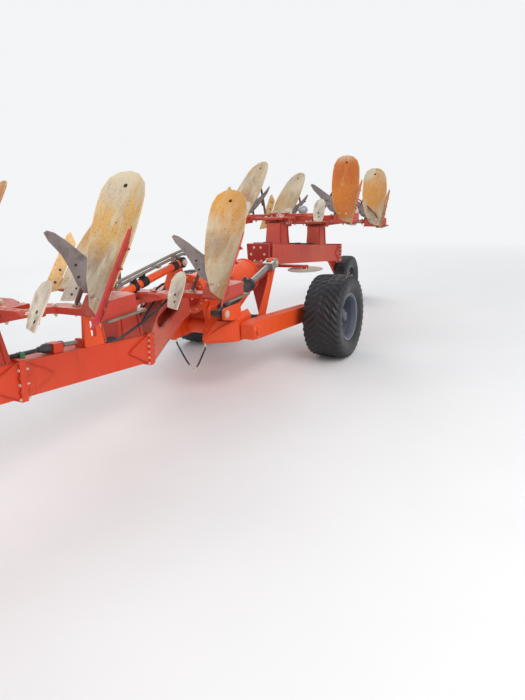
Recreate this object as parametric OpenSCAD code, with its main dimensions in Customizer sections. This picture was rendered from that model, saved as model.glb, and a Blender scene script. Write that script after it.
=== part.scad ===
// Semi-mounted reversible mouldboard plough, parked half-turned.
// X runs forward along the line of travel, Y to the left, Z up from the floor.

/* [Stations] */
// body bracket stations along the machine, front to rear
stations = [5050, 4020, 2990, 600, -430];
// shift that puts the middle of the length at X = 0
x_mid = 2510; // [2000:1:3200]
// height of the turnover axis
axis_z = 800; // [760:5:860]
// slope of both beams in the half-turned position, degrees
slope = 7; // [5:0.5:8]

/* [Beams] */
// height of the box beams
beam_h = 200; // [170:5:220]
// width of the box beams
beam_w = 160; // [130:5:180]
// wall of the box beams
beam_t = 12; // [8:1:16]
// height of the front beam at its second flange
front_z = 625; // [610:5:660]
// height of the rear beam at its first bracket
rear_z = 905; // [890:5:930]
// radius of the centre turning shaft
shaft_r = 100; // [90:1:110]
// running clearance of turning fits
fit_gap = 0.05; // [0.02:0.01:0.1]

/* [Bodies] */
// distance from the turnover plane to the share edges
reach = 780; // [740:5:800]
// lift of the landside above the beam centre
body_lift = 290; // [280:1:300]
// radius of the mouldboard curve
board_r = 406; // [390:2:430]
// plate thickness of the mouldboards
board_t = 10; // [8:1:12]
// angle of the share line to the line of travel
share_a = 52; // [48:1:56]
// thickness of the legs
leg_t = 36; // [30:1:40]

/* [Carriage] */
// position of the wheel axle
axle_x = 990; // [985:5:1010]
// outer radius of the carriage tyres
tyre_r = 390; // [380:5:400]
// width of the carriage tyres
tyre_w = 350; // [330:5:360]
// half of the wheel track
track_h = 765; // [760:5:800]
// rim seat radius
rim_r = 197; // [190:1:200]
// position of the arm pivot
pivot_x = 2050; // [2030:5:2070]
// height of the arm pivot
pivot_z = 500; // [490:5:510]
// radius of the arm pivot pin
pin_r = 35; // [30:1:40]
// radius of the wheel stub axles
stub_r = 30; // [25:1:35]

/* [Rear wheel] */
// position of the rear depth wheel axle
depth_x = -1500; // [-1550:5:-1480]
// radius of the rear depth wheel
depth_r = 300; // [280:5:310]
// width of the rear depth wheel
depth_w = 180; // [160:5:200]

/* [Headstock] */
// lower link pin radius
link_pin_r = 18.3; // [14:0.1:18.3]
// distance between the lower link shoulders
link_span = 965; // [825:5:965]
// top link hole radius
top_r = 16; // [12:0.5:16]
// height of the lower link pins
link_z = 620; // [600:5:660]
// height of the mast above the lower links
mast_h = 685; // [610:5:700]

/* [Hidden] */
$fn = 48;
sides = [1, -1];
front_x = 3500;
rear_x = stations[3];
fl_x = [5950, 3860, 2830];
rear_end = -1000;
rear_start = 940;
stub_z = tyre_r;
hitch_x = 6560;
link_x = hitch_x + 200;
kw = tyre_w / 400;
post_x = 1000;
share_b = 145;
board_s = -312;
stand_at = [6205, 175];
disc_r = 175;
board_n = -129;
board_w = 296;
tip_a = 5;
skim_at = [-100, 45, 265];
stem_u = -5;
leg_v = 30;
disc_v = -body_lift - beam_h / 2 / cos(slope) + 125 * tan(slope) - 38.3;

function tz(x) = x * tan(slope);
function bz(x) = x > 1500 ? front_z + tz(x - front_x) : rear_z + tz(x - rear_x);
function px(s) = s - 50;
function pz(s) = bz(s) + body_lift;
// on the lower front beam the bodies sit on their legs, on the rear beam the legs pass through
function raise(s) = s > 1500 ? leg_v + leg_t : 0;

module put() {
  translate([-x_mid, 0, 0]) children();
}

// a round bar between two points in a plane of constant Y or any direction
module bar(p, q, r) {
  d = q - p;
  l = norm(d);
  translate(p)
    rotate([0, acos(d[2] / l), atan2(d[1], d[0])])
      cylinder(h = l, r = r);
}

// a plate in the XZ plane, from y0 to y0 + t
module plate_y(pts, y0, t) {
  translate([0, y0 + t, 0])
    rotate([90, 0, 0])
      linear_extrude(t) polygon(pts);
}

// a plate in the YZ plane, from x0 to x0 + t
module plate_x(pts, x0, t) {
  translate([x0, 0, 0])
    rotate([90, 0, 90])
      linear_extrude(t) polygon(pts);
}

// body axes: x rearward, y up from the landside, z inward from the share plane
module at_body(s, side) {
  if (side > 0)
    translate([px(s), reach, pz(s)]) mirror([1, 0, 0]) rotate([90, 0, 0]) children();
  else
    mirror([0, 1, 0])
      translate([px(s), reach, pz(s)]) mirror([1, 0, 0]) rotate([90, 0, 0]) children();
}

module all_legs() {
  for (s = stations) for (side = sides) at_body(s, side) children();
}

module all_bodies() {
  for (s = stations) for (side = sides) at_body(s, side) translate([0, raise(s), 0]) children();
}

// hollow box beam from xa to xb on the slope line
module box_beam(xa, xb) {
  l = (xb - xa) / cos(slope);
  translate([xa, 0, bz(xa)]) rotate([0, -slope, 0])
    difference() {
      translate([0, -beam_w / 2, -beam_h / 2]) cube([l, beam_w, beam_h]);
      translate([-1, -beam_w / 2 + beam_t, -beam_h / 2 + beam_t])
        cube([l + 2, beam_w - 2 * beam_t, beam_h - 2 * beam_t]);
    }
}

// flange plate standing square on the slope line
module flange(x, off) {
  translate([x, 0, bz(x)]) rotate([0, -slope, 0])
    translate([off, -beam_w / 2 - 25, -beam_h / 2 - 15])
      cube([20, beam_w + 50, beam_h + 30]);
}

// turning frame
module front_beam() {
  color("#c8412a") put() {
    box_beam(fl_x[1] + 20, fl_x[0]);
    box_beam(fl_x[2] + 20, fl_x[1] - 20);
  }
}

module beam_flanges() {
  color("#b83a26") put() {
    flange(fl_x[1], 0);
    flange(fl_x[1], -20);
    flange(fl_x[2], 0);
    flange(fl_x[2], -20);
    for (side = sides) {
      gusset(fl_x[1] + 20, 190, side);
      gusset(fl_x[1] - 20, -190, side);
      gusset(fl_x[2] + 20, 190, side);
    }
  }
}

// welded triangle on a side face of the beam
module gusset(x, l, side) {
  y0 = side > 0 ? beam_w / 2 : -beam_w / 2 - 12;
  translate([x, 0, bz(x)]) rotate([0, -slope, 0])
    plate_y([[0, -beam_h / 2], [0, beam_h / 2], [l, 0]], y0, 12);
}

module front_end() {
  z1 = bz(fl_x[0]);
  color("#c8412a") put() {
    difference() {
      plate_y([[fl_x[0] - 20, z1 - 130], [fl_x[0] - 20, z1 + 120], [fl_x[0] + 60, z1 + 120],
        [fl_x[0] + 100, axis_z + 110], [fl_x[0] + 100, axis_z - 120], [fl_x[0] + 40, axis_z - 120]],
        -110, 220);
      translate([fl_x[0] - 60, 0, bz(fl_x[0] - 60)]) rotate([0, -slope, 0])
        translate([0, -beam_w / 2 - 0.1, -beam_h / 2 - 0.1])
          cube([60 / cos(slope) + 0.1, beam_w + 0.2, beam_h + 0.2]);
    }
    translate([fl_x[0] + 100, 0, axis_z]) rotate([0, 90, 0]) cylinder(h = 330, r = 80, $fn = 64);
  }
}

module crank_arm() {
  z2 = bz(fl_x[2]);
  color("#cf6d55") put()
    difference() {
      plate_y([[fl_x[2] - 19, z2 - 105], [fl_x[2] - 19, z2 + 98], [2600, axis_z + 100],
        [2330, axis_z + 110], [2330, axis_z - 120], [2430, axis_z - 150]], -90, 180);
      plate_y([[fl_x[2] - 60, z2 - 82], [fl_x[2] - 60, z2 + 84],
        [2590, axis_z + 80], [2400, axis_z + 86], [2400, axis_z - 100], [2445, axis_z - 122]],
        -72, 144);
      for (x = [2500, 2680])
        translate([x, -100, axis_z - 20 - (x - 2500) * 0.42]) rotate([-90, 0, 0])
          cylinder(h = 200, r = 52);
      translate([2500, -100, axis_z - 72]) rotate([0, 22.8, 0]) cube([195, 200, 104]);
      flange(fl_x[2], -20);
    }
}

module centre_shaft() {
  color("#8d3a2b") put() {
    translate([post_x + 40, 0, axis_z]) rotate([0, 90, 0])
      difference() {
        cylinder(h = 2290 - post_x, r = shaft_r, $fn = 96);
        translate([0, 0, -1]) cylinder(h = 2292 - post_x, r = shaft_r - 25, $fn = 96);
      }
  }
}

module rear_post() {
  z3 = bz(rear_start);
  color("#b5341f") put() {
    plate_x([[-22, 360], [22, 360], [74, 600], [112, 700], [118, 1060], [-118, 1060], [-112, 700],
      [-74, 600]], post_x, 40);
    plate_y([[rear_start, z3 - 95], [post_x, 760], [post_x, 1040], [rear_start - 12, z3 + 95]],
      -60, 120);
    flange(rear_start - 20, 0.2);
  }
}

module rear_beam() {
  color("#c8412a") put() {
    box_beam(rear_end, rear_start - 32);
    flange(rear_start - 20, -20);
    flange(rear_end, -20);
    translate([rear_end - 152, 0, bz(rear_end)]) rotate([0, 90, 0])
      cylinder(h = 140, r = pin_r, $fn = 64);
    for (side = sides)
      mirror([1, 0, 0]) translate([-2 * rear_end, 0, 0]) rear_gusset(side);
  }
}

// triangle at the rear end of the rear beam
module rear_gusset(side) {
  y0 = side > 0 ? beam_w / 2 : -beam_w / 2 - 12;
  translate([rear_end, 0, bz(rear_end)]) rotate([0, slope, 0])
    plate_y([[-150, 0], [0, -beam_h / 2], [0, beam_h / 2]], y0, 12);
}

// supports and bodies
module body_brackets() {
  color("#b83a26") put()
    for (s = stations) {
      zb = bz(s);
      zt = beam_h / 2 / cos(slope);
      lv = pz(s) + leg_v;
      plate_y([[s - 130, zb + zt - tz(130) + 0.3], [s + 130, zb + zt + tz(130) + 0.3],
        [s + 75, lv], [s - 95, lv]], -75, 150);
      translate([s - 280, -105, lv + leg_t]) cube([380, 210, 20]);
      translate([s - 20, -9.8, lv]) cube([40, 19.6, leg_t]);
    }
}

module legs() {
  color("#b5452c") put() all_legs()
    leg_plate();
}

module leg_plate() {
  translate([0, leg_v + fit_gap, 0]) rotate([90, 0, 0]) mirror([0, 0, 1])
    linear_extrude(leg_t - 2 * fit_gap)
      polygon([[273, 156], [367, 110], [367, 560], [320, 680], [60, 770], [-60, 770],
        [-60, 650], [50, 650], [250, 580], [273, 540]]);
}

module frogs() {
  color("#9c3b2a") put() for (s = stations) for (side = sides) at_body(s, side)
    translate([0, raise(s), 0]) difference() {
      rotate([90, 0, 0]) mirror([0, 0, 1])
        linear_extrude(84)
          polygon([[60, 36], [340, 36], [367, 110], [367, 265], [180, 265], [70, 120]]);
      rotate([0, 0, share_a])
        translate([board_s, board_n + board_r, board_w]) rotate([0, 90 + tip_a, 0])
          cylinder(h = 1716, r = board_r + board_t, $fn = 180);
      rotate([0, 0, share_a]) rotate([share_b, 0, 0])
        translate([-200, -60, -300]) cube([1000, 146, 300 + board_t]);
      if (raise(s) == 0)
        translate([0, leg_v, 0]) rotate([90, 0, 0]) mirror([0, 0, 1])
          linear_extrude(leg_t)
            polygon([[273, 156], [367, 110], [368, 110], [368, 266], [273, 266]]);
    }
}

module landsides() {
  color("#8a7a68") put() all_bodies()
    translate([125, -12, 20]) cube([265, 12, 80]);
}

module shares() {
  color("#a99a84") put() all_bodies()
    rotate([0, 0, share_a]) rotate([share_b, 0, 0])
      linear_extrude(board_t)
        polygon([[-10, -10], [500, 0], [530, 18], [460, 84], [55, 84]]);
}

// curved plate cut from a tube wall by an outline seen square to the share line
module curved(pts, r, t, wc, n0, tip) {
  rotate([0, 0, share_a])
    intersection() {
      translate([board_s, n0 + r, wc]) rotate([0, 90 + tip, 0])
        difference() {
          cylinder(h = 1716, r = r + t, $fn = 180);
          translate([0, 0, -1]) cylinder(h = 1718, r = r, $fn = 180);
        }
      translate([0, n0 + r * 0.7, 0]) rotate([90, 0, 0])
        linear_extrude(r * 0.7 + 80) polygon(pts);
    }
}

board_pts = [[72, 48.4], [437, 48.4], [546, 60], [663, 84], [780, 112], [866, 152], [918, 206],
  [934, 262], [919, 320], [874, 362], [796, 380], [700, 378], [560, 362], [450, 340], [300, 290],
  [150, 200], [105, 120]];

module mouldboards() {
  color("#c9b48f") put() all_bodies()
    difference() {
      curved(board_pts, board_r, board_t, board_w, board_n, tip_a);
      translate([-200, -100, -50]) cube([1200, 100.3, 600]);
    }
}

module trashboards() {
  color("#6f665f") put() all_bodies()
    curved([[215, 239.6], [300, 290.6], [410, 327.3], [440, 385], [474, 450], [494, 505], [491, 530],
      [472, 538], [440, 515], [395, 455], [330, 392], [255, 325]], board_r, board_t, board_w,
      board_n, tip_a);
}

module skimmer_boards() {
  color("#c4b9a3") put() all_legs()
    translate(skim_at)
      curved([[8, 4], [136, 4], [224, 24], [276, 60], [290, 98], [270, 132], [224, 148],
        [120, 140], [36, 112]], 208, 8, 120, -48, 0);
}

module skimmer_stems() {
  color("#8d3f2c") put() all_legs()
    difference() {
      union() {
        translate([stem_u, 86 + fit_gap, 330]) cube([50, 24, 400]);
        translate([stem_u - 40, 86 + fit_gap, 330]) cube([90, 24, 60]);
      }
      translate(skim_at) rotate([0, 0, share_a])
        translate([board_s, -48 + 208, 120]) rotate([0, 90, 0])
          cylinder(h = 1716, r = 216, $fn = 180);
    }
}

// link tube along the front frame
module link_tube() {
  z2 = bz(3300) + beam_h / 2 / cos(slope) + 0.3;
  color("#d8552f") put() {
    difference() {
      plate_y([[3230, z2 - tz(70)], [3390, z2 + tz(90)], [3350, z2 + 272], [3270, z2 + 272]], 48, 30);
      translate([3290, 40, z2 + 60]) cube([40, 50, 100]);
    }
    difference() {
      plate_y([[2335, axis_z + 110.1], [2585, axis_z + 100.9], [2440, axis_z + 310], [2370, axis_z + 310]],
        48, 30);
    }
    bar([3310, 106, z2 + 238], [2405, 106, axis_z + 285], 28);
    for (p = [[3310, z2 + 238], [2405, axis_z + 285]])
      translate([p[0], 30, p[1]]) rotate([-90, 0, 0]) cylinder(h = 120, r = 18);
  }
}

// disc coulters
module disc_arms() {
  s = stations[3];
  color("#8d3f2c") put()
    for (side = sides) at_body(s, side) {
      translate([-225, disc_v + 14, 385]) cube([50, 24, reach - 385]);
      translate([-200, disc_v + 6, 410]) rotate([-90, 0, 0]) cylinder(h = 32, r = 30);
      translate([-200, disc_v - 14, 410]) rotate([-90, 0, 0]) cylinder(h = 30, r = 12);
    }
}

module coulter(side) {
  s = stations[3];
  at_body(s, side)
    translate([-200, disc_v, 410]) rotate([90, 0, 0])
      difference() {
        union() {
          cylinder(h = 6, r = disc_r, $fn = 96);
          translate([0, 0, -5.5]) cylinder(h = 17, r = 50);
        }
        translate([0, 0, -10]) cylinder(h = 30, r = 12 + fit_gap, $fn = 64);
      }
}

module disc_left() { color("#8f8478") put() coulter(1); }
module disc_right() { color("#8f8478") put() coulter(-1); }

// carriage
module carriage_housing() {
  color("#e0562c") put() {
    difference() {
      union() {
        translate([1320, 0, axis_z]) rotate([0, 90, 0]) cylinder(h = 880, r = 150, $fn = 96);
        for (side = sides)
          plate_y([[1420, 700], [1420, 800], [2200, 800], [2200, 700], [2150, 432], [1970, 432]],
            side * 130 - 12, 24);
      }
      translate([1319, 0, axis_z]) rotate([0, 90, 0])
        cylinder(h = 882, r = shaft_r + fit_gap, $fn = 96);
    }
    translate([pivot_x, -395, pivot_z]) rotate([-90, 0, 0]) cylinder(h = 790, r = 60, $fn = 64);
    for (side = sides)
      translate([pivot_x, side * 395, pivot_z]) rotate([-90 * side, 0, 0])
        cylinder(h = 150, r = pin_r, $fn = 64);
  }
}

module pivot_brackets() {
  color("#ea6a2e") put()
    for (side = sides) mirror([0, side > 0 ? 0 : 1, 0])
      difference() {
        union() {
          intersection() {
            plate_x([[142.2, 424], [142.2, 900], [200, 900], [292, 770], [394.5, 600],
              [394.5, 424]], 1900, 400);
            plate_y([[1920, 424], [2270, 424], [2270, 470], [2170, 700], [2080, 830], [2000, 900],
              [1920, 900]], 100, 400);
            linear_extrude(1000)
              polygon([[1920, 100], [2272, 100], [2272, 165], [2120, 396], [1920, 396]]);
          }
          for (y = [232, 368])
            plate_y([[2060, 610], [2180, 610], [2306, 640], [2306, 712], [2280, 724], [2060, 724]],
              y, 20);
        }
        translate([pivot_x, 0, pivot_z]) rotate([-90, 0, 0]) cylinder(h = 600, r = 60, $fn = 64);
        plate_x([[0, 640], [0, 1000], [152, 1000], [152, 640]], 1900, 400);
        translate([lift_a[0], 252, lift_a[2]]) rotate([0, lift_ang, 0])
          translate([-500, 0, -62]) cube([560, 116, 400]);
        translate([lift_a[0], 200, lift_a[2]]) rotate([-90, 0, 0]) cylinder(h = 220, r = 20);
      }
}

module wheel_arms() {
  color("#e0562c") put()
    for (side = sides) mirror([0, side > 0 ? 0 : 1, 0])
      difference() {
        union() {
          plate_y([[2110, 440], [2110, 560], [2010, 575], [axle_x - 40, 470], [axle_x - 80, 430],
            [axle_x - 80, 360], [axle_x - 20, 330], [1980, 425]], 405, 110);
          translate([axle_x, 515, stub_z]) rotate([-90, 0, 0])
            cylinder(h = track_h - 455, r = stub_r, $fn = 64);
          translate([1600, -1, 455]) rotate([-90, 0, 0]) cylinder(h = 410, r = 45);
          plate_y([[1560, 480], [1645, 470], [1430, 760], [1376, 868], [1382, 950], [1360, 974],
            [1330, 974], [1303, 950], [1306, 905]], 290, 40);
        }
        translate([pivot_x, 300, pivot_z]) rotate([-90, 0, 0])
          cylinder(h = 300, r = pin_r + fit_gap, $fn = 64);
        translate([lift_b[0], 280, lift_b[2]]) rotate([-90, 0, 0]) cylinder(h = 60, r = eye_r);
      }
}

// tyre section: radius against half width
tyre_half = [[rim_r + 3, 150], [rim_r + 28, 172], [tyre_r - 120, 198], [tyre_r - 70, 200],
  [tyre_r - 30, 186], [tyre_r - 17, 160], [tyre_r - 13, 0]];

module tyre(y) {
  n = 22;
  step = 360 / n;
  translate([axle_x, y, stub_z]) rotate([-90, 0, 0]) {
    rotate_extrude($fn = 96)
      difference() {
        polygon(concat([for (p = tyre_half) [p[0], p[1] * kw]],
          [for (i = [len(tyre_half) - 2:-1:0]) [tyre_half[i][0], -tyre_half[i][1] * kw]]));
        translate([rim_r - 40, -132 * kw]) square([tyre_r - 75 - rim_r, 264 * kw]);
      }
    intersection() {
      for (i = [0:n - 1]) for (k = sides)
        rotate([0, 0, (i + (k > 0 ? 0 : 0.5)) * step])
          translate([tyre_r - 25, 0, k * 88 * kw]) rotate([k * 32, 0, 0])
            cube([60, 30, 200 * kw], center = true);
      difference() {
        translate([0, 0, -178 * kw]) cylinder(h = 356 * kw, r = tyre_r, $fn = 96);
        translate([0, 0, -200]) cylinder(h = 400, r = tyre_r - 20, $fn = 96);
      }
    }
  }
}

module rim(y, out) {
  translate([axle_x, y, stub_z]) rotate([-90 * out, 0, 0])
    difference() {
      union() {
        rotate_extrude($fn = 96)
          polygon([for (p = [[2.9, -150], [20, -165], [20, -172], [-4, -160], [-14, -120], [-14, 120],
            [-4, 160], [20, 172], [20, 165], [2.9, 150], [2.9, 131.8], [-4, 110], [-4, -110],
            [2.9, -131.8]]) [rim_r + p[0], p[1] * kw]]);
        translate([0, 0, 0]) cylinder(h = 14, r = rim_r - 14, $fn = 96);
        translate([0, 0, -170]) cylinder(h = 240, r = 70, $fn = 64);
      }
      translate([0, 0, -171]) cylinder(h = 245, r = stub_r + fit_gap, $fn = 64);
    }
}

module tyre_left() { color("#2a2a2c") put() tyre(track_h); }
module tyre_right() { color("#2a2a2c") put() tyre(-track_h); }
module rim_left() { color("#3a3b3f") put() rim(track_h, 1); }
module rim_right() { color("#3a3b3f") put() rim(-track_h, -1); }

// lift cylinders
lift_a = [2270, 310, 680];
lift_b = [1350, 310, 930];
lift_len = norm(lift_b - lift_a);
// the open linkage lets the rod's eye wander up to 4.6 mm from its pin
eye_r = 24.8;
lift_ang = atan2(lift_a[2] - lift_b[2], lift_a[0] - lift_b[0]);

module at_lift(side) {
  translate([lift_a[0], side * lift_a[1], lift_a[2]]) rotate([0, -90 - lift_ang, 0]) children();
}

module lift_barrel(side) {
  at_lift(side) {
    rotate([90, 0, 0]) cylinder(h = 60, r = 30, center = true);
    rotate([90, 0, 0]) cylinder(h = 156, r = 19.95, center = true);
    cylinder(h = 90, r = 26);
    difference() {
      union() {
        translate([0, 0, 80]) cylinder(h = 440, r = 46);
        translate([0, 0, 490]) cylinder(h = 36, r = 50);
      }
      translate([0, 0, 105]) cylinder(h = 460, r = 24 + fit_gap, $fn = 64);
    }
  }
}

module lift_rod(side) {
  at_lift(side) {
    translate([0, 0, 200]) cylinder(h = lift_len - 274, r = 24, $fn = 64);
    difference() {
      union() {
        translate([0, 0, lift_len]) rotate([90, 0, 0]) cylinder(h = 100, r = 40, center = true);
        translate([-32, -50, lift_len - 85]) cube([64, 100, 85]);
      }
      translate([-60, -25, lift_len - 64]) cube([120, 50, 130]);
    }
    translate([0, 0, lift_len]) rotate([90, 0, 0]) cylinder(h = 80, r = 19.5, center = true);
  }
}

module lift_barrel_left() { color("#6b625a") put() lift_barrel(1); }
module lift_barrel_right() { color("#6b625a") put() lift_barrel(-1); }
module lift_rod_left() { color("#b9bcc0") put() lift_rod(1); }
module lift_rod_right() { color("#b9bcc0") put() lift_rod(-1); }

// rear depth wheel
module depth_arm() {
  z4 = bz(rear_end);
  color("#8d3a2b") put() {
    difference() {
      translate([rear_end - 150, 0, z4]) rotate([0, 90, 0]) cylinder(h = 121, r = 62, $fn = 64);
      translate([rear_end - 151, 0, z4]) rotate([0, 90, 0])
        cylinder(h = 124, r = pin_r + fit_gap, $fn = 64);
    }
    difference() {
      plate_y([[rear_end - 150, z4 + 40], [rear_end - 40, z4 + 40], [rear_end - 40, z4 - 60],
        [depth_x + 60, depth_r - 20], [depth_x - 50, depth_r - 40], [depth_x - 60, depth_r + 60]],
        -130, 30);
    }
    translate([rear_end - 150, -130, z4 - 30]) cube([110, 85, 60]);
    translate([depth_x, -100, depth_r]) rotate([-90, 0, 0]) cylinder(h = 190, r = 25, $fn = 64);
  }
}

module depth_tyre() {
  color("#2a2a2c") put()
    translate([depth_x, 0, depth_r]) rotate([-90, 0, 0])
      rotate_extrude($fn = 96)
        polygon([[160, -75], [200, -86], [270, -88], [292, -76], [depth_r, -50], [depth_r, 50],
          [292, 76], [270, 88], [200, 86], [160, 75]]);
}

module depth_rim() {
  color("#8d3a2b") put()
    translate([depth_x, 0, depth_r]) rotate([-90, 0, 0])
      difference() {
        union() {
          cylinder(h = 150, r = 160, center = true, $fn = 96);
        }
        translate([0, 0, 12]) cylinder(h = 100, r = 146, $fn = 96);
        translate([0, 0, -112]) cylinder(h = 100, r = 146, $fn = 96);
        cylinder(h = 200, r = 45, center = true);
      }
  color("#8d3a2b") put()
    translate([depth_x, 0, depth_r]) rotate([-90, 0, 0])
      difference() {
        cylinder(h = 160, r = 45, center = true, $fn = 64);
        cylinder(h = 202, r = 25 + fit_gap, center = true, $fn = 64);
      }
}

// headstock
module turn_housing() {
  color("#c8412a") put()
    difference() {
      union() {
        translate([6070, 0, axis_z]) rotate([0, 90, 0]) cylinder(h = 300, r = 130, $fn = 96);
        translate([stand_at[0] - 50, 100, 560]) cube([100, stand_at[1] - 45, 210]);
        for (z = [axis_z - 150, axis_z + 90])
          translate([6370 - 40, -80, z]) cube([hitch_x - 6370 + 40, 160, 60]);
        for (z = [axis_z - 150, axis_z + 90])
          translate([hitch_x, 0, z]) cylinder(h = 60, r = 80, $fn = 64);
      }
      translate([6069, 0, axis_z]) rotate([0, 90, 0])
        cylinder(h = 312, r = 80 + fit_gap, $fn = 64);
      translate([hitch_x, 0, 500]) cylinder(h = 600, r = 35 + fit_gap, $fn = 64);
      translate([stand_at[0] - 35, stand_at[1] - 35, 500]) cube([70, 70, 400]);
    }
}

module headstock_frame() {
  color("#c8412a") put()
    difference() {
      union() {
        translate([hitch_x, 0, axis_z - 89.9]) cylinder(h = 179.8, r = 78, $fn = 64);
        translate([hitch_x, 0, axis_z - 170]) cylinder(h = 340, r = 35, $fn = 64);
        translate([hitch_x, -60, axis_z - 80]) cube([110, 120, 160]);
        plate_y([[hitch_x + 90, link_z - 60], [link_x + 60, link_z - 60], [link_x + 60, link_z + 60],
          [link_x - 40, link_z + 90], [link_x + 10, link_z + mast_h - 60],
          [link_x + 30, link_z + mast_h], [link_x + 20, link_z + mast_h + 50], [link_x - 50, link_z + mast_h + 50],
          [hitch_x + 90, axis_z + 80]], -60, 120);
      }
      translate([link_x - 100, -26, link_z + mast_h - 80]) cube([200, 52, 200]);
      translate([link_x - 10, -100, link_z + mast_h]) rotate([-90, 0, 0])
        cylinder(h = 200, r = top_r, $fn = 64);
      translate([link_x, -100, link_z]) rotate([-90, 0, 0])
        cylinder(h = 200, r = 45 + fit_gap, $fn = 64);
    }
}

module cross_shaft() {
  color("#8d3f2c") put()
    translate([link_x, 0, link_z]) rotate([-90, 0, 0]) {
      cylinder(h = link_span - 60, r = 45, center = true, $fn = 64);
      for (side = sides) {
        translate([0, 0, side * (link_span / 2 - 15)]) cylinder(h = 30, r = 50, center = true);
        translate([0, 0, side * (link_span / 2 + 60)])
          cylinder(h = 120, r = link_pin_r, center = true, $fn = 64);
      }
      for (side = sides)
        translate([0, 0, side * 80]) cylinder(h = 24, r = 60, center = true);
    }
}

module stand_leg() {
  color("#4a4540") put() {
    difference() {
      translate([stand_at[0] - 34.7, stand_at[1] - 34.7, 12]) cube([69.4, 69.4, 700]);
      translate([stand_at[0] - 27, stand_at[1] - 27, 20]) cube([54, 54, 760]);
    }
    translate([stand_at[0] - 100, stand_at[1] - 100, 0]) cube([200, 200, 12]);
  }
}

front_beam();
beam_flanges();
front_end();
crank_arm();
centre_shaft();
rear_post();
rear_beam();
body_brackets();
legs();
frogs();
landsides();
shares();
mouldboards();
trashboards();
skimmer_boards();
skimmer_stems();
link_tube();
disc_arms();
disc_left();
disc_right();
carriage_housing();
pivot_brackets();
wheel_arms();
tyre_left();
rim_left();
tyre_right();
rim_right();
lift_barrel_left();
lift_rod_left();
lift_barrel_right();
lift_rod_right();
depth_arm();
depth_tyre();
depth_rim();
turn_housing();
headstock_frame();
cross_shaft();
stand_leg();
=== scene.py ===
import math
import random

import bmesh
import bpy
from mathutils import Matrix, Vector


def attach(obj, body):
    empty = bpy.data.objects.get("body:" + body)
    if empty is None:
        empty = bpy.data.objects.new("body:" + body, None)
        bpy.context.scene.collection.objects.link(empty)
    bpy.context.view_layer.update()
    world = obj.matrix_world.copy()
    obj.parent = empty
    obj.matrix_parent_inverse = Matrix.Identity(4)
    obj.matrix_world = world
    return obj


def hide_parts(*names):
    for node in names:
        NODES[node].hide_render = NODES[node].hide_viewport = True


# Lengths are metres. A station is a place along the plough, counted forward as in the CAD part.
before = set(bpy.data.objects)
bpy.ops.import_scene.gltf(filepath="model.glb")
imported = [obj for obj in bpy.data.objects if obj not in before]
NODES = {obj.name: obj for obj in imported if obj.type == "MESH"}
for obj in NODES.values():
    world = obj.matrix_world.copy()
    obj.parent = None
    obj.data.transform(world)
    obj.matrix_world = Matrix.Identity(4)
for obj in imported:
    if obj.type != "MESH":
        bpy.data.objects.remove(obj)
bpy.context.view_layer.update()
XM = 2.51          # station metres minus XM is world X
SLOPE = math.radians(7)
HALF_H = 0.1      # half the beams' height
AXIS_Z = 0.8      # height of the turning axis
EX, EY, EZ = Vector((1, 0, 0)), Vector((0, 1, 0)), Vector((0, 0, 1))
SIDES = (1, -1)
NAMED_SIDES = ((1, "left"), (-1, "right"))
rnd = random.Random(7)


def st(x, y, z):
    """station metres to the shared frame"""
    return Vector((x - XM, y, z))


def beam_z(x):
    """height of the beams' centre line at a station"""
    t = math.tan(SLOPE)
    return 0.625 + (x - 3.5) * t if x > 1.5 else 0.905 + (x - 0.6) * t


def link_new(name, data):
    """an object in the scene for a mesh, curve, light or camera"""
    ob = bpy.data.objects.new(name, data)
    bpy.context.scene.collection.objects.link(ob)
    return ob


# ---- camera
FOCAL_PX, PICTURE_PX = 526.0, 700.0
PITCH, ROLL = math.radians(17.4), math.radians(3.0)
HEADING = (-0.874, -0.485, 0)
EYE = (5.55, 2.5, 1.6)


def make_camera():
    """the photo's view, from the height of a standing person's eye"""
    cam = bpy.data.cameras.new("camera")
    cam.sensor_fit = "VERTICAL"
    cam.sensor_height = 24.0
    cam.lens = cam.sensor_height * FOCAL_PX / PICTURE_PX
    ob = link_new("camera", cam)
    fwd = (Vector(HEADING).normalized() * math.cos(PITCH) - EZ * math.sin(PITCH)).normalized()
    right = fwd.cross(EZ).normalized()
    up = right.cross(fwd).normalized()
    # the horizon climbs to the right: the camera's right side dips
    m = Matrix((right * math.cos(ROLL) - up * math.sin(ROLL),
                up * math.cos(ROLL) + right * math.sin(ROLL), -fwd)).transposed().to_4x4()
    m.translation = st(*EYE)
    ob.matrix_world = m
    bpy.context.scene.camera = ob


make_camera()


# ---- materials
class Tree:
    """short ways to fill a node tree"""

    def __init__(self, tree):
        self.nt = tree
        tree.nodes.clear()

    def put(self, n, ins):
        """links or sets inputs of a node, by name or number"""
        for k, v in ins.items():
            if hasattr(v, "links"):
                self.nt.links.new(v, n.inputs[k])
            else:
                plain = n.inputs[k].type == "RGBA" and len(v) == 3
                n.inputs[k].default_value = (*v, 1.0) if plain else v
        return n

    def node(self, kind, ins=None, **attrs):
        n = self.nt.nodes.new(kind)
        for k, v in attrs.items():
            setattr(n, k, v)
        return self.put(n, ins or {})

    def mix_shader(self, fac, a, b):
        ins = {0: fac, 1: a.outputs[0], 2: b.outputs[0]}
        return self.node("ShaderNodeMixShader", ins).outputs[0]

    def camera_ray(self):
        return self.node("ShaderNodeLightPath").outputs["Is Camera Ray"]


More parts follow.
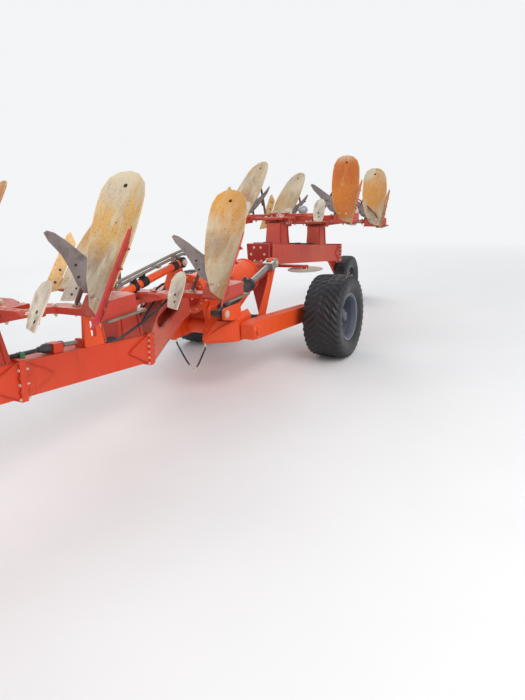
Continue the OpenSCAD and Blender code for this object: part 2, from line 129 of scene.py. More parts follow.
class Mat(Tree):
    """a material whose patterns lie in object space"""

    def __init__(self, name):
        self.m = bpy.data.materials.new(name)
        self.m.use_nodes = True
        super().__init__(self.m.node_tree)
        self.bsdf = self.node("ShaderNodeBsdfPrincipled")
        self.out = self.node("ShaderNodeOutputMaterial", {0: self.bsdf.outputs[0]})
        tc = self.node("ShaderNodeTexCoord")
        self.pos, self.nrm = tc.outputs["Object"], tc.outputs["Normal"]

    def noise(self, scale, detail=4.0, rough=0.55, stretch=None, dist=0.0, vec=None):
        src = vec or self.pos
        if stretch:
            src = self.node("ShaderNodeMapping", {"Scale": stretch, "Vector": src}).outputs[0]
        return self.node("ShaderNodeTexNoise", {
            "Vector": src, "Scale": scale, "Detail": detail, "Roughness": rough,
            "Distortion": dist}).outputs["Fac"]

    def ramp(self, fac, lo, hi, a=0.0, b=1.0):
        return self.node("ShaderNodeMapRange", {
            "Value": fac, "From Min": lo, "From Max": hi, "To Min": a, "To Max": b}).outputs[0]

    def math(self, op, a, b):
        return self.node("ShaderNodeMath", {0: a, 1: b}, operation=op).outputs[0]

    def mul(self, *vs):
        out = vs[0]
        for v in vs[1:]:
            out = self.math("MULTIPLY", out, v)
        return out

    def mix(self, fac, a, b):
        """a where fac is 0, b where it is 1; plain colours are 8-bit sRGB"""
        a, b = (v if hasattr(v, "links") else srgb(*v) for v in (a, b))
        return self.node("ShaderNodeMix", {0: fac, 6: a, 7: b}, data_type="RGBA").outputs[2]

    def vector_math(self, op, a, b):
        return self.node("ShaderNodeVectorMath", {0: a, 1: b}, operation=op).outputs["Value"]

    def near(self, centre, r0, r1):
        """1 inside r0 of a point, 0 outside r1"""
        return self.ramp(self.vector_math("DISTANCE", self.pos, centre), r1, r0)

    def axis(self, i, vec=None):
        return self.node("ShaderNodeSeparateXYZ", {0: vec or self.pos}).outputs[i]

    def edge(self, radius):
        """1 along the edges of plates"""
        b = self.node("ShaderNodeBevel", {"Radius": radius}, samples=4)
        flat = self.node("ShaderNodeNewGeometry").outputs["Normal"]
        return self.ramp(self.vector_math("DISTANCE", b.outputs[0], flat), 0.02, 0.25)

    def finish(self, col, grain, rough, metal, coarse=None, strength=0.2, dist=0.002):
        """the grain varies the roughness and makes the bump together with the coarse noise"""
        rough = self.ramp(grain, 0.3, 0.7, *rough)
        ins = {"Base Color": col, "Roughness": rough, "Metallic": metal}
        if coarse is not None:
            ins["Normal"] = self.node("ShaderNodeBump", {
                "Strength": strength, "Distance": dist,
                "Height": self.math("ADD", coarse, grain)}).outputs[0]
        self.put(self.bsdf, ins)
        return self.m


def srgb(*rgb):
    def linear(c):
        c /= 255.0
        return c / 12.92 if c <= 0.04045 else ((c + 0.055) / 1.055) ** 2.4
    return tuple(linear(c) for c in rgb)


def shade(rgb, k):
    return [c * k for c in rgb]


def painted(name, base, faded, rust=(120, 62, 38), dust=(196, 150, 122), wear=0.45, fade=0.5,
            dusty=0.3, dark=0.3):
    """old machine paint: faded fields, chipped edges, rust specks, settled dust"""
    m = Mat(name)
    big = m.noise(1.9, 3.0)
    mid = m.noise(13.0, 5.0, 0.6)
    fine = m.noise(85.0, 6.0, 0.7)
    drip = m.noise(12.0, 4.0, 0.6, stretch=(1.0, 1.0, 0.16))
    col = m.mix(m.ramp(big, 0.4, 0.7, 0.0, fade), base, faded)
    col = m.mix(m.ramp(drip, 0.54, 0.74, 0.0, dark), col, shade(base, 0.68))
    chips = m.mul(m.ramp(mid, 0.69 - wear * 0.1, 0.73), m.ramp(fine, 0.42, 0.58))
    col = m.mix(chips, col, rust)
    col = m.mix(m.mul(m.edge(0.005), m.ramp(mid, 0.46, 0.62), 0.4 + wear * 0.5), col, rust)
    top = m.ramp(m.axis(2, m.nrm), 0.4, 0.95)
    settled = m.ramp(m.noise(15.0, 5.0, 0.65), 0.38, 0.68, 0.0, dusty * 1.7)
    col = m.mix(m.mul(top, settled), col, dust)
    return m.finish(col, fine, (0.36, 0.62), 0.0, mid, 0.18)


# the mouldboards' streaks run along the share line, SHARE_A up from level
SHARE_A = math.radians(52)
BOARD_ALONG = (-math.cos(SHARE_A), 0.0, math.sin(SHARE_A))
BOARD_OUT = (math.sin(SHARE_A), 0.0, math.cos(SHARE_A))
# own colours of single boards: centre, inner and outer radius, colour, strength, streakiness
BOARD_STAINS = (
    ((3.5, 0.56, 1.5), 0.06, 0.27, (206, 160, 84), 1.0, 0.44),
    ((3.62, 0.6, 1.3), 0.05, 0.24, (198, 152, 82), 0.9, 0.46),
    ((3.74, 0.5, 1.26), 0.05, 0.22, (132, 116, 106), 1.0, 0.42),
    ((3.42, 0.5, 1.62), 0.03, 0.12, (188, 176, 158), 0.9, 0.42),
    ((2.4, 0.44, 1.6), 0.05, 0.26, (216, 148, 46), 1.0, 0.4),
    ((2.58, 0.7, 1.44), 0.08, 0.3, (206, 140, 50), 1.0, 0.42),
    ((2.5, 0.56, 1.5), 0.03, 0.13, (142, 124, 110), 1.0, 0.4),
    ((2.6, 0.52, 1.28), 0.03, 0.16, (152, 134, 118), 1.0, 0.42),
    ((0.16, 0.6, 1.52), 0.34, 0.46, (200, 116, 38), 1.0, 0.3),
    ((0.02, 0.52, 1.68), 0.06, 0.26, (182, 92, 34), 0.9, 0.42),
    ((-0.84, 0.58, 1.46), 0.12, 0.32, (206, 144, 70), 1.0, 0.42),
    ((2.65, -0.62, 1.42), 0.1, 0.36, (198, 150, 96), 0.8, 0.42),
    ((0.25, -0.62, 1.5), 0.1, 0.36, (176, 136, 102), 0.9, 0.42),
    ((-0.75, -0.62, 1.45), 0.1, 0.36, (190, 160, 118), 0.8, 0.42),
    ((3.6, -0.62, 1.45), 0.2, 0.5, (196, 112, 52), 0.9, 0.42))


def board_mat():
    """mouldboards: bone-coloured dried soil with ochre and orange rust streaked along them"""
    m = Mat("mouldboard_soil")
    along, out = (m.vector_math("DOT_PRODUCT", m.pos, d) for d in (BOARD_ALONG, BOARD_OUT))
    lie = m.node("ShaderNodeCombineXYZ", {0: m.mul(along, 0.3), 1: out, 2: m.axis(1)}).outputs[0]
    streak = m.noise(9.0, 6.0, 0.62, vec=lie, dist=0.35)
    streak2 = m.noise(15.0, 5.0, 0.6, vec=lie, dist=0.2)
    patch = m.noise(2.7, 4.0, 0.55, dist=0.3)
    speck = m.noise(75.0, 6.0, 0.75)
    col = m.mix(m.ramp(patch, 0.36, 0.64), (206, 192, 162), (184, 172, 150))
    col = m.mix(m.mul(m.ramp(streak2, 0.55, 0.7), 0.75), col, (138, 122, 108))
    ochre = m.mul(m.ramp(streak, 0.46, 0.6), m.ramp(patch, 0.4, 0.52))
    grain = m.ramp(m.ramp(speck, 0.36, 0.6), 0.0, 1.0, 0.55, 1.0)
    col = m.mix(m.mul(ochre, grain), col, (192, 140, 68))
    col = m.mix(m.mul(ochre, m.ramp(speck, 0.54, 0.66)), col, (172, 112, 62))
    for centre, r0, r1, rgb, k, lo in BOARD_STAINS:
        f = m.mul(m.near(st(*centre), r0, r1), m.ramp(streak, lo - 0.08, lo + 0.08), k)
        col = m.mix(f, col, m.mix(m.ramp(speck, 0.5, 0.64), rgb, shade(rgb, 0.8)))
    col = m.mix(m.mul(m.edge(0.006), 0.7), col, (212, 184, 140))
    return m.finish(col, speck, (0.48, 0.8), 0.1, streak, 0.25, 0.0025)


def share_mat():
    """shares: worn gold-brown steel in front, red paint left on the back"""
    m = Mat("share_steel")
    big = m.noise(6.0, 5.0)
    fine = m.noise(80.0, 6.0, 0.7)
    col = m.mix(m.ramp(big, 0.4, 0.6), (206, 168, 110), (176, 138, 88))
    col = m.mix(m.ramp(fine, 0.56, 0.66, 0.0, 0.7), col, (128, 82, 50))
    red = m.mix(m.ramp(big, 0.44, 0.66), (186, 44, 40), (150, 52, 44))
    red = m.mix(m.ramp(fine, 0.6, 0.68, 0.0, 0.8), red, (196, 150, 104))
    side = m.node("ShaderNodeMath", {0: m.axis(1)}, operation="SIGN").outputs[0]
    col = m.mix(m.ramp(m.mul(m.axis(1, m.nrm), side), 0.45, 0.55), col, red)
    # the crimson dab of paint at the foot of the second near share
    col = m.mix(m.near(st(3.91, 0.74, 1.06), 0.02, 0.05), col, (206, 26, 66))
    return m.finish(col, fine, (0.35, 0.62), 0.25, big)


def skim_mat(name, a, b, stain, rust):
    """paddles of the skimmers and trashboards: dry, streaked from the top down"""
    m = Mat(name)
    big = m.noise(5.0, 4.0)
    run = m.noise(16.0, 5.0, 0.6, stretch=(1.0, 1.0, 0.2))
    fine = m.noise(90.0, 6.0, 0.72)
    col = m.mix(m.ramp(big, 0.38, 0.62), a, b)
    col = m.mix(m.ramp(run, 0.5, 0.66, 0.0, 0.8), col, stain)
    col = m.mix(m.mul(m.ramp(fine, 0.55, 0.66), m.ramp(big, 0.45, 0.6), 0.8), col, rust)
    col = m.mix(m.mul(m.edge(0.005), 0.6), col, [min(255, v + 20) for v in a])
    return m.finish(col, fine, (0.5, 0.8), 0.1, run, 0.25)


def steel_mat(name, a, b, rust, metal=0.5, rough=(0.4, 0.7), amount=0.5):
    m = Mat(name)
    mid = m.noise(19.0, 5.0, 0.6)
    col = m.mix(m.ramp(m.noise(4.0, 5.0), 0.38, 0.62), a, b)
    col = m.mix(m.ramp(mid, 0.66 - 0.2 * amount, 0.72), col, rust)
    return m.finish(col, m.noise(90.0, 6.0, 0.7), rough, metal, mid, 0.2, 0.0015)


def chrome_mat():
    m = Mat("rod_chrome")
    fine = m.noise(120.0, 4.0, 0.6)
    col = m.mix(m.ramp(fine, 0.4, 0.7), (158, 156, 152), (122, 116, 108))
    return m.finish(col, fine, (0.25, 0.45), 0.6)


def rubber_mat(name, base, dust, amount=0.5, rough=(0.5, 0.75)):
    m = Mat(name)
    mid = m.noise(9.0, 5.0, 0.6)
    col = m.mix(m.ramp(mid, 0.64 - 0.2 * amount, 0.76, 0.0, 0.8), base, dust)
    return m.finish(col, mid, rough, 0.0, m.noise(140.0, 5.0, 0.7), 0.2, 0.001)


M = {
    "frame": painted("frame_paint", (214, 60, 20), (222, 82, 38), wear=0.35, dusty=0.25),
    "leg": painted("leg_paint", (178, 48, 28), (192, 78, 54), wear=0.8, fade=0.6),
    "carriage": painted("carriage_paint", (228, 76, 20), (230, 96, 42), wear=0.25, fade=0.3,
                        dusty=0.2, dark=0.2),
    "faded": painted("faded_paint", (196, 76, 58), (210, 122, 104), (150, 84, 66), wear=0.3,
                     fade=1.0),
    "red": painted("deep_red_paint", (160, 34, 24), (176, 56, 42), wear=0.5, fade=0.4),
    "rearbeam": painted("rear_beam_paint", (190, 58, 32), (200, 82, 54), wear=0.3, fade=0.7),
    "rim": painted("rim_dark_paint", (70, 76, 90), (104, 108, 120), (120, 84, 62), (140, 138, 134),
                   wear=0.3),
    "board": board_mat(),
    "share": share_mat(),
    "chrome": chrome_mat(),
    "skim": skim_mat("skimmer_soil", (214, 204, 184), (190, 180, 164), (150, 134, 118),
                     (168, 122, 84)),
    "trash": skim_mat("trash_steel", (126, 114, 110), (104, 92, 90), (80, 68, 66), (132, 92, 72)),
}
# name, two tones, rust, metallic, range of roughness, amount of rust
STEELS = {
    "worn": ("worn_steel", (150, 138, 122), (112, 98, 84), (126, 80, 50), 0.55),
    "barrel": ("barrel_steel", (72, 70, 74), (52, 50, 54), (104, 76, 60), 0.3),
    "disc": ("disc_steel", (196, 190, 178), (172, 160, 142), (156, 112, 76), 0.4, (0.4, 0.7), 0.3),
    "bolt": ("bolt_zinc", (222, 208, 192), (196, 176, 156), (168, 120, 92), 0.35, (0.35, 0.6), 0.3),
    "redbolt": ("painted_bolt", (196, 78, 62), (168, 56, 44), (120, 66, 48), 0.1, (0.35, 0.6), 0.3),
    "stand": ("stand_steel", (84, 78, 74), (62, 56, 52), (116, 78, 54), 0.3),
    "lip": ("rim_lip", (176, 182, 184), (150, 154, 156), (120, 110, 100), 0.3, (0.35, 0.55), 0.3),
    "grey": ("grey_tube", (146, 136, 128), (116, 106, 98), (130, 96, 74), 0.35),
    "black": ("black_tube", (48, 48, 52), (66, 66, 70), (86, 72, 62), 0.2, (0.3, 0.5), 0.4),
    "rod": ("brown_rod", (124, 84, 68), (98, 66, 54), (84, 50, 36), 0.3),
    # dark: the dark steel of bands and bolt heads, and painted shade for the insides of holes
    "dark": ("dark_steel_and_hole_shade", (40, 34, 32), (30, 26, 24), (60, 42, 34), 0.2),
}
# name, colour, dust, amount of dust, range of roughness
RUBBERS = {
    "tyre": ("tyre_rubber", (27, 27, 30), (50, 49, 50), 0.4, (0.34, 0.56)),
    "hose": ("hose_rubber", (30, 30, 33), (74, 70, 66), 0.35),
    "green": ("clip_green", (60, 128, 84), (90, 110, 90), 0.2),
    "ptfe": ("pale_tip", (206, 200, 188), (160, 150, 136), 0.3),
}
M.update({key: steel_mat(*args) for key, args in STEELS.items()})
M.update({key: rubber_mat(*args) for key, args in RUBBERS.items()})

NODE_MAT = {
    "frame": "front_beam beam_flanges front_end turn_housing headstock_frame",
    "faded": "crank_arm",
    "red": "centre_shaft rear_post",
    "rearbeam": "rear_beam",
    "leg": "body_brackets legs frogs skimmer_stems disc_arms depth_arm",
    "worn": "landsides cross_shaft",
    "share": "shares",
    "board": "mouldboards",
    "trash": "trashboards",
    "skim": "skimmer_boards",
    "carriage": "link_tube carriage_housing pivot_brackets wheel_arms",
    "disc": "disc_left disc_right",
    "tyre": "tyre_left tyre_right depth_tyre",
    "rim": "rim_left rim_right depth_rim",
    "barrel": "lift_barrel_left lift_barrel_right",
    "chrome": "lift_rod_left lift_rod_right",
    "stand": "stand_leg",
}
for mat, names in NODE_MAT.items():
    for name in names.split():
        NODES[name].data.materials.clear()
        NODES[name].data.materials.append(M[mat])
# the record's material slot of each added piece, by its look
SLOTS = {
    "bolt": "worn_steel", "worn": "worn_steel", "ptfe": "worn_steel",
    "dark": "dark_steel", "black": "dark_steel", "grey": "dark_steel", "rod": "dark_steel",
    "barrel": "dark_steel", "stand": "dark_steel",
    "frame": "frame_paint", "leg": "frame_paint", "red": "frame_paint", "redbolt": "frame_paint",
    "green": "frame_paint", "carriage": "carriage_paint", "faded": "faded_paint",
    "board": "soil_steel", "chrome": "rod_chrome", "rim": "rim_dark", "lip": "rim_dark",
    "tyre": "tyre",
}


# ---- mesh helpers
def meshes(n):
    return [bmesh.new() for _ in range(n)]


def frame_of(d):
    """a rotation whose Z is the direction d"""
    return Vector(d).normalized().to_track_quat("Z", "X").to_matrix()


def around(n, r, phase=0.0):
    """n points on a circle, as pairs"""
    for k in range(n):
        a = 2 * math.pi * k / n + phase
        yield r * math.cos(a), r * math.sin(a)


def skin(bm, loops, caps=True):
    """quads from loop to loop, then caps or a last row of quads back to the first loop"""
    for a, b in zip(loops, loops[1:] if caps else loops[1:] + loops[:1]):
        n = len(a)
        for i in range(n):
            bm.faces.new((a[i], a[(i + 1) % n], b[(i + 1) % n], b[i]))
    if caps:
        bm.faces.new(loops[0][::-1])
        bm.faces.new(loops[-1])


def lathe(bm, p, d, rings, n=20, caps=True):
    """a turned shape along d: rings are (distance, radius)"""
    p, rot = Vector(p), frame_of(d)
    skin(bm, [[bm.verts.new(p + rot @ Vector((x, y, z))) for x, y in around(n, r)]
              for z, r in rings], caps)


def turn(bm, p, d, n, *mm):
    """a turned shape with n sides along d: distances and radii in turn, in millimetres"""
    lathe(bm, p, d, [(z / 1000, r / 1000) for z, r in zip(mm[::2], mm[1::2])], n)


def cylinder(bm, p, q, r, n=20, cham=0.0):
    """a closed cylinder from p to q, with chamfered ends"""
    d = Vector(q) - Vector(p)
    ends = [(0.0, r - cham), (cham, r), (d.length - cham, r), (d.length, r - cham)]
    lathe(bm, p, d, ends if cham else [(0.0, r), (d.length, r)], n)


def torus(bm, p, d, r, t, n=32, k=8):
    """a torus of radius r and wire radius t about the axis d"""
    lathe(bm, p, d, [(y, r + x) for x, y in around(k, t)], n, caps=False)


def box(bm, centre, size, rot=None):
    rot = rot or Matrix.Identity(3)
    vs = [bm.verts.new(Vector(centre) + rot @ Vector((sx * size[0] / 2, sy * size[1] / 2,
                                                      sz * size[2] / 2)))
          for sx in (-1, 1) for sy in (-1, 1) for sz in (-1, 1)]
    for f in ((0, 1, 3, 2), (4, 6, 7, 5), (0, 4, 5, 1), (2, 3, 7, 6), (0, 2, 6, 4), (1, 5, 7, 3)):
        bm.faces.new([vs[i] for i in f])


def slab(bm, a, b):
    """a plate between two outlines with as many corners"""
    va, vb = ([bm.verts.new(p) for p in pts] for pts in (a, b))
    bm.faces.new(va)
    bm.faces.new(vb[::-1])
    for i in range(len(va)):
        j = (i + 1) % len(va)
        bm.faces.new((va[i], vb[i], vb[j], va[j]))


def bolt(bm, at, d, r=0.012, head=0.008, washer=True):
    """hexagon head on a washer, standing out along d"""
    at, d = Vector(at), Vector(d).normalized()
    if washer:
        cylinder(bm, at, at + d * 0.003, r * 1.32, 16)
        at = at + d * 0.003
    cylinder(bm, at, at + d * head, r, 6, cham=0.0018)


def nut(bm, at, d, r=0.012, washer=True):
    """nut with the bolt's end standing out of it"""
    bolt(bm, at, d, r, r * 0.8, washer)
    at, d = Vector(at), Vector(d).normalized()
    cylinder(bm, at + d * 0.004, at + d * (r * 0.8 + 0.012), r * 0.52, 12, cham=0.001)


def countersunk(bm, c, n, out, r, sides=14, cham=0.0004):
    """the head of a countersunk bolt, or a hole, whose dark disc is painted shade: a disc that
    stands out a hair's breadth
    """
    cylinder(bm, c - n * 0.004, c + n * out, r, sides, cham)


def smooth_path(pts, steps=6):
    """Catmull-Rom points through the given ones"""
    pts = [Vector(p) for p in pts]
    ext = [pts[0] * 2 - pts[1]] + pts + [pts[-1] * 2 - pts[-2]]
    out = []
    for a, b, c, d in zip(ext, ext[1:], ext[2:], ext[3:]):
        for k in range(steps):
            t = k / steps
            out.append(0.5 * ((2 * b) + (c - a) * t + (2 * a - 5 * b + 4 * c - d) * t * t +
                              (3 * b - a - 3 * c + d) * t ** 3))
    out.append(pts[-1])
    return out


def loop_at(bm, c, u, v, r, n):
    """n vertices round c in the plane of u and v"""
    return [bm.verts.new(c + (u * x + v * y) * r) for x, y in around(n, 1.0)]


def tube(bm, pts, r, n=10, steps=6, smooth=True):
    """a round hose along the points, closed at both ends"""
    path = smooth_path(pts, steps) if smooth and len(pts) > 2 else [Vector(p) for p in pts]
    t0 = (path[1] - path[0]).normalized()
    u = t0.cross(EZ if abs(t0.z) < 0.9 else EX).normalized()
    loops = []
    for i, p in enumerate(path):
        t = (path[min(i + 1, len(path) - 1)] - path[max(i - 1, 0)]).normalized()
        u = (u - t * u.dot(t)).normalized()
        loops.append(loop_at(bm, p, u, t.cross(u), r, n))
    skin(bm, loops)


def joined(bm, pts, r, n=8):
    """a straight closed tube between each two neighbouring points"""
    for p, q in zip(pts, pts[1:]):
        if (p - q).length > 1e-5:
            tube(bm, [p, q], r, n)


def weld(bm, p, q, r=0.006):
    """a rippled weld bead from p to q"""
    p, q = Vector(p), Vector(q)
    n = max(4, int((q - p).length / 0.012))
    d = (q - p) / n
    u = d.cross(Vector((0.3, 0.2, 1.0))).normalized()
    v = d.normalized().cross(u)
    skin(bm, [loop_at(bm, p + d * (i / 2), u, v,
                      r * (1.12 if i % 2 else 0.86) * rnd.uniform(0.92, 1.08), 6)
              for i in range(n * 2 + 1)])


def piece(name, bm, mat, body="plough_frame", smooth=35, bevel=0.0, slot=None):
    """turns a bmesh into a named piece that rides on a body"""
    bmesh.ops.recalc_face_normals(bm, faces=bm.faces[:])
    me = bpy.data.meshes.new(name)
    bm.to_mesh(me)
    bm.free()
    me.materials.append(M[mat])
    ob = link_new(name, me)
    if bevel:
        mod = ob.modifiers.new("bevel", "BEVEL")
        mod.width = bevel
        mod.segments = 2
        mod.limit_method = "ANGLE"
        mod.angle_limit = math.radians(40)
    me.polygons.foreach_set("use_smooth", [True] * len(me.polygons))
    me.set_sharp_from_angle(angle=math.radians(smooth))
    slot = slot or SLOTS[mat]
    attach(ob, body)
    return ob


# body axes: u rearward, v up from the landside, w inward from the share plane
STATIONS = (5.05, 4.02, 2.99, 0.6, -0.43)
REACH, LIFT, RAISE = 0.78, 0.29, 0.066
SHARE_B, TIP = math.radians(145), math.radians(5)
BOARD_R, BOARD_N, BOARD_W, BOARD_S = 0.406, -0.129, 0.296, -0.312
OUTWARD = Vector((-math.sin(SHARE_A), math.cos(SHARE_A), 0))


def leg_pt(s, side, u, v, w):
    return st(s - 0.05 - u, side * (REACH - w), beam_z(s) + LIFT + v)


def body_pt(s, side, u, v, w):
    """as leg_pt, but the bodies of the lower front beam sit on top of their legs"""
    return leg_pt(s, side, u, v + (RAISE if s > 1.5 else 0.0), w)


def body_dir(side, u, v, w):
    return Vector((-u, -side * w, v))


def line_pt(s, n, w):
    """(u, v, w) of a point given along the share line, square to it and inward"""
    return (s * math.cos(SHARE_A) - n * math.sin(SHARE_A),
            s * math.sin(SHARE_A) + n * math.cos(SHARE_A), w)


def arc(d, r, t):
    """depth of a curved plate's face at d from its middle; t 0 is the front, more is the back"""
    return r - math.sqrt(max((r + t) * (r + t) - d * d, 1e-6))


def board_pt(s, w, t=0.0):
    d = (w - BOARD_W) * math.cos(TIP) + (s - BOARD_S) * math.sin(TIP)
    return line_pt(s, BOARD_N + arc(d, BOARD_R, t), w)


def skim_pt(s, w, t=0.0):
    """the skimmers' paddles curve like their solids"""
    u, v, w2 = line_pt(s, -0.048 + arc(w - 0.12, 0.208, t), w)
    return (u - 0.1, v + 0.045, w2 + 0.265)


def normal_of(pt, s, w):
    """(u, v, w) direction out of the working face of a curved plate"""
    a = Vector(pt(s, w))
    n = (Vector(pt(s, w + 0.002)) - a).cross(Vector(pt(s + 0.002, w)) - a).normalized()
    return -n if n.dot(OUTWARD) < 0 else n


def share_pt(s, y, t=0.0):
    cb, sb = math.cos(SHARE_B), math.sin(SHARE_B)
    return line_pt(s, y * cb - t * sb, y * sb + t * cb)


SHARE_N = line_pt(0, math.sin(SHARE_B), -math.cos(SHARE_B))
# along the beams, square to them, and the turn of a box that lies on one
T7 = Vector((math.cos(SLOPE), 0, math.sin(SLOPE)))
N7 = Vector((-math.sin(SLOPE), 0, math.cos(SLOPE)))
ON_BEAM = Matrix((T7, EY, N7)).transposed()


def beam_pt(x, along, y, up):
    """a point beside the beam at station x: along and square to its slope"""
    return st(x, y, beam_z(x)) + T7 * along + N7 * up


def beam_box(bm, x, y, up, size):
    box(bm, beam_pt(x, 0, y, up), size, ON_BEAM)


BODIES = [(s, side) for s in STATIONS for side in SIDES]


# ---- beams
FRONT_FLANGES = ((3.86, 1), (3.86, -1), (2.83, 1))
bolts, nuts = meshes(2)
for x, face in FRONT_FLANGES:
    add = bolt if face > 0 else nut
    for side in SIDES:
        for k in range(6):
            at = beam_pt(x, face * 0.02, side * 0.0975, -0.1 + k * 0.04)
            add(nuts if k % 2 and x > 3 else bolts, at, T7 * face, 0.0098, washer=False)
for side in SIDES:
    for k in range(6):
        nut(nuts, beam_pt(2.83, -0.02, side * 0.0975, -0.1 + k * 0.04), -T7, 0.0095, False)
for side in SIDES:
    for up in (-0.088 + k * 0.044 for k in range(5)):
        nut(bolts, beam_pt(0.92, -0.02, side * 0.093, up), -T7, 0.01)
        bolt(bolts, beam_pt(-1.0, 0, side * 0.093, up), T7, 0.01)
        nut(bolts, beam_pt(-1.0, -0.02, side * 0.1, up), -T7, 0.008, False)
piece("flange_bolts", bolts, "bolt")
piece("flange_nuts", nuts, "redbolt")


def upright_weld(bm, x, along, side):
    p, q = (beam_pt(x, along, side * 0.082, up) for up in (-HALF_H, HALF_H))
    weld(bm, p, q, 0.005)


bm = bmesh.new()
for x, face in FRONT_FLANGES:
    for side in SIDES:
        for up in (1, -1):
            weld(bm, beam_pt(x, face * 0.02, side * 0.0915, up * 0.1),
                 beam_pt(x, face * 0.209, side * 0.0915, up * 0.001), 0.0045)
for side in SIDES:
    upright_weld(bm, 5.93, 0, side)
    for up in (-HALF_H, HALF_H):
        for x in (3.86, 2.83):
            weld(bm, beam_pt(x, 0.022, -0.078, up), beam_pt(x, 0.022, 0.078, up), 0.0045)
    upright_weld(bm, 0.9, -0.002, side)
piece("beam_welds", bm, "frame", smooth=60)

# supports: bolts down through the top plate and the legs, ribs at the sides, welds
bolts, welds, ribs = meshes(3)
ZT = HALF_H / math.cos(SLOPE)
for s, side in BODIES:
    zb = beam_z(s)
    for dx in (-0.25, -0.14, -0.06, 0.07):
        bolt(bolts, st(s + dx, side * 0.086, zb + 0.376), EZ, 0.0135, 0.01)
    for dx in (-0.13, -0.075, -0.025):
        nut(bolts, st(s + dx, side * 0.1, zb + 0.32), -EZ, 0.012)
    for dx in (-0.08, 0.06):
        foot, tan7 = dx * 1.25, 0.1228
        slab(ribs, *[[st(s + x + off, side * y, zb + z) for x, y, z in (
            (foot, 0.0755, 0.104 + foot * tan7), (foot, 0.082, 0.104 + foot * tan7),
            (dx, 0.086, 0.318), (dx, 0.0755, 0.318))] for off in (-0.006, 0.006)])
    for x0, z0, x1, z1 in ((-0.128, ZT - 0.0157, 0.128, ZT + 0.0157),
                           (-0.093, 0.318, 0.073, 0.318)):
        weld(welds, st(s + x0, side * 0.077, zb + z0), st(s + x1, side * 0.077, zb + z1))
piece("support_bolts", bolts, "bolt")
piece("support_ribs", ribs, "leg", bevel=0.0015)
piece("support_welds", welds, "leg", smooth=60)

# ---- bodies
frog, dark, flush, share, stay, clamp, clamp_bolt = meshes(7)
for s, side in BODIES:
    def P(*uvw):
        return body_pt(s, side, *uvw)

    def L(*uvw):
        return leg_pt(s, side, *uvw)

    def face_at(q, w):
        """a point on the board and the direction out of it"""
        return P(*board_pt(q, w)), body_dir(side, *normal_of(board_pt, q, w))

    # frog and leg bolts
    for u, w in ((0.225, 0.11), (0.225, 0.205), (0.15, 0.105)):
        bolt(frog, P(u, 0.084, w), EZ, 0.0125, 0.009)
    for u, w in ((0.325, 0.2), (0.325, 0.33), (0.325, 0.45), (0.29, 0.56)):
        if w > 0.28:
            bolt(frog, L(u, 0.066, w), EZ, 0.0125, 0.009)
        nut(frog, L(u, 0.03, w), -EZ, 0.0115)
    # plough bolts in the board
    for q, w in ((0.15, 0.11), (0.27, 0.14), (0.4, 0.12), (0.52, 0.17)):
        countersunk(flush, *face_at(q, w), 0.0008, 0.0105, 16)
    # the hole near its tail and a small one below, dark discs of painted shade; two bolts in the
    # trashboard
    for q, w, *disc in (
            (0.842, 0.262, 0.0009, 0.012, 20), (0.62, 0.235, 0.0007, 0.0045, 14, 0.0003),
            (0.3, 0.335, 0.0012, 0.0085), (0.36, 0.372, 0.0012, 0.0085)):
        countersunk(dark, *face_at(q, w), *disc)
    # share bolts in front, nuts behind
    n = body_dir(side, *SHARE_N)
    for q in (0.11, 0.215, 0.32, 0.425):
        countersunk(dark, P(*share_pt(q, 0.048)), n, 0.001, 0.0105, 16)
        nut(share, P(*share_pt(q, 0.048, 0.01)), -n, 0.0105)
    # stay rods from the back of the board to the leg, with a turnbuckle's hexagon
    for q, w, w2 in ((0.6, 0.16, 0.29), (0.56, 0.33, 0.44)):
        a, n = P(*board_pt(q, w, 0.01)), face_at(q, w)[1]
        b = L(0.345, 0.064, w2)
        tube(stay, [a + n * 0.004, a - n * 0.035, b + EZ * 0.03, b], 0.0125, 12, 5)
        cylinder(stay, a + n * 0.002, a - n * 0.01, 0.022, 16, cham=0.002)
        nut(clamp_bolt, b + EZ * 0.002, EZ, 0.014)
        m, half = a.lerp(b, 0.5), (b - a).normalized() * 0.03
        cylinder(stay, m - half, m + half, 0.0135, 6)
    # strap over the skimmer's stem with two bolts
    c = L(0.02, 0.116, 0.712)
    box(clamp, c, (0.11, 0.046, 0.012))
    for du in (-0.044, 0.044):
        bolt(clamp_bolt, c + Vector((du, 0, 0.006)), EZ, 0.011, 0.009)
        cylinder(clamp_bolt, c + Vector((du, 0, -0.032)), c + Vector((du, 0, 0)), 0.0075, 12)
    # foot of the stem: two bolts; and the row of holes along the stem, dark discs of painted shade
    for du in (-0.03, 0.03):
        bolt(clamp_bolt, L(du, 0.11, 0.358), EZ, 0.0095, 0.007)
    for w in (0.46, 0.52, 0.58):
        c = L(0.02, 0.11, w)
        cylinder(dark, c - EZ * 0.003, c + EZ * 0.0006, 0.0085, 14, cham=0.0003)
piece("leg_bolts", frog, "bolt")
# dark bolt heads, and the painted shade of the holes in the boards and stems
piece("board_bolts_and_hole_shade", dark, "dark")
piece("board_flush_bolts", flush, "board")
piece("share_nuts", share, "redbolt", slot="worn_steel")
piece("board_stays", stay, "rod")
piece("stem_clamps", clamp, "leg", bevel=0.002)
piece("clamp_bolts", clamp_bolt, "bolt")

# two bolts through each skimmer's paddle
dark, nuts = meshes(2)
for s, side in BODIES:
    for q, w in ((0.07, 0.062), (0.12, 0.078)):
        n = body_dir(side, *normal_of(skim_pt, q, w))
        c = leg_pt(s, side, *skim_pt(q, w))
        cylinder(dark, c - n * 0.003, c + n * 0.0012, 0.009, 14, cham=0.0004)
        nut(nuts, leg_pt(s, side, *skim_pt(q, w, 0.008)), -n, 0.0085)
piece("skimmer_bolts", dark, "dark")
piece("skimmer_nuts", nuts, "bolt")

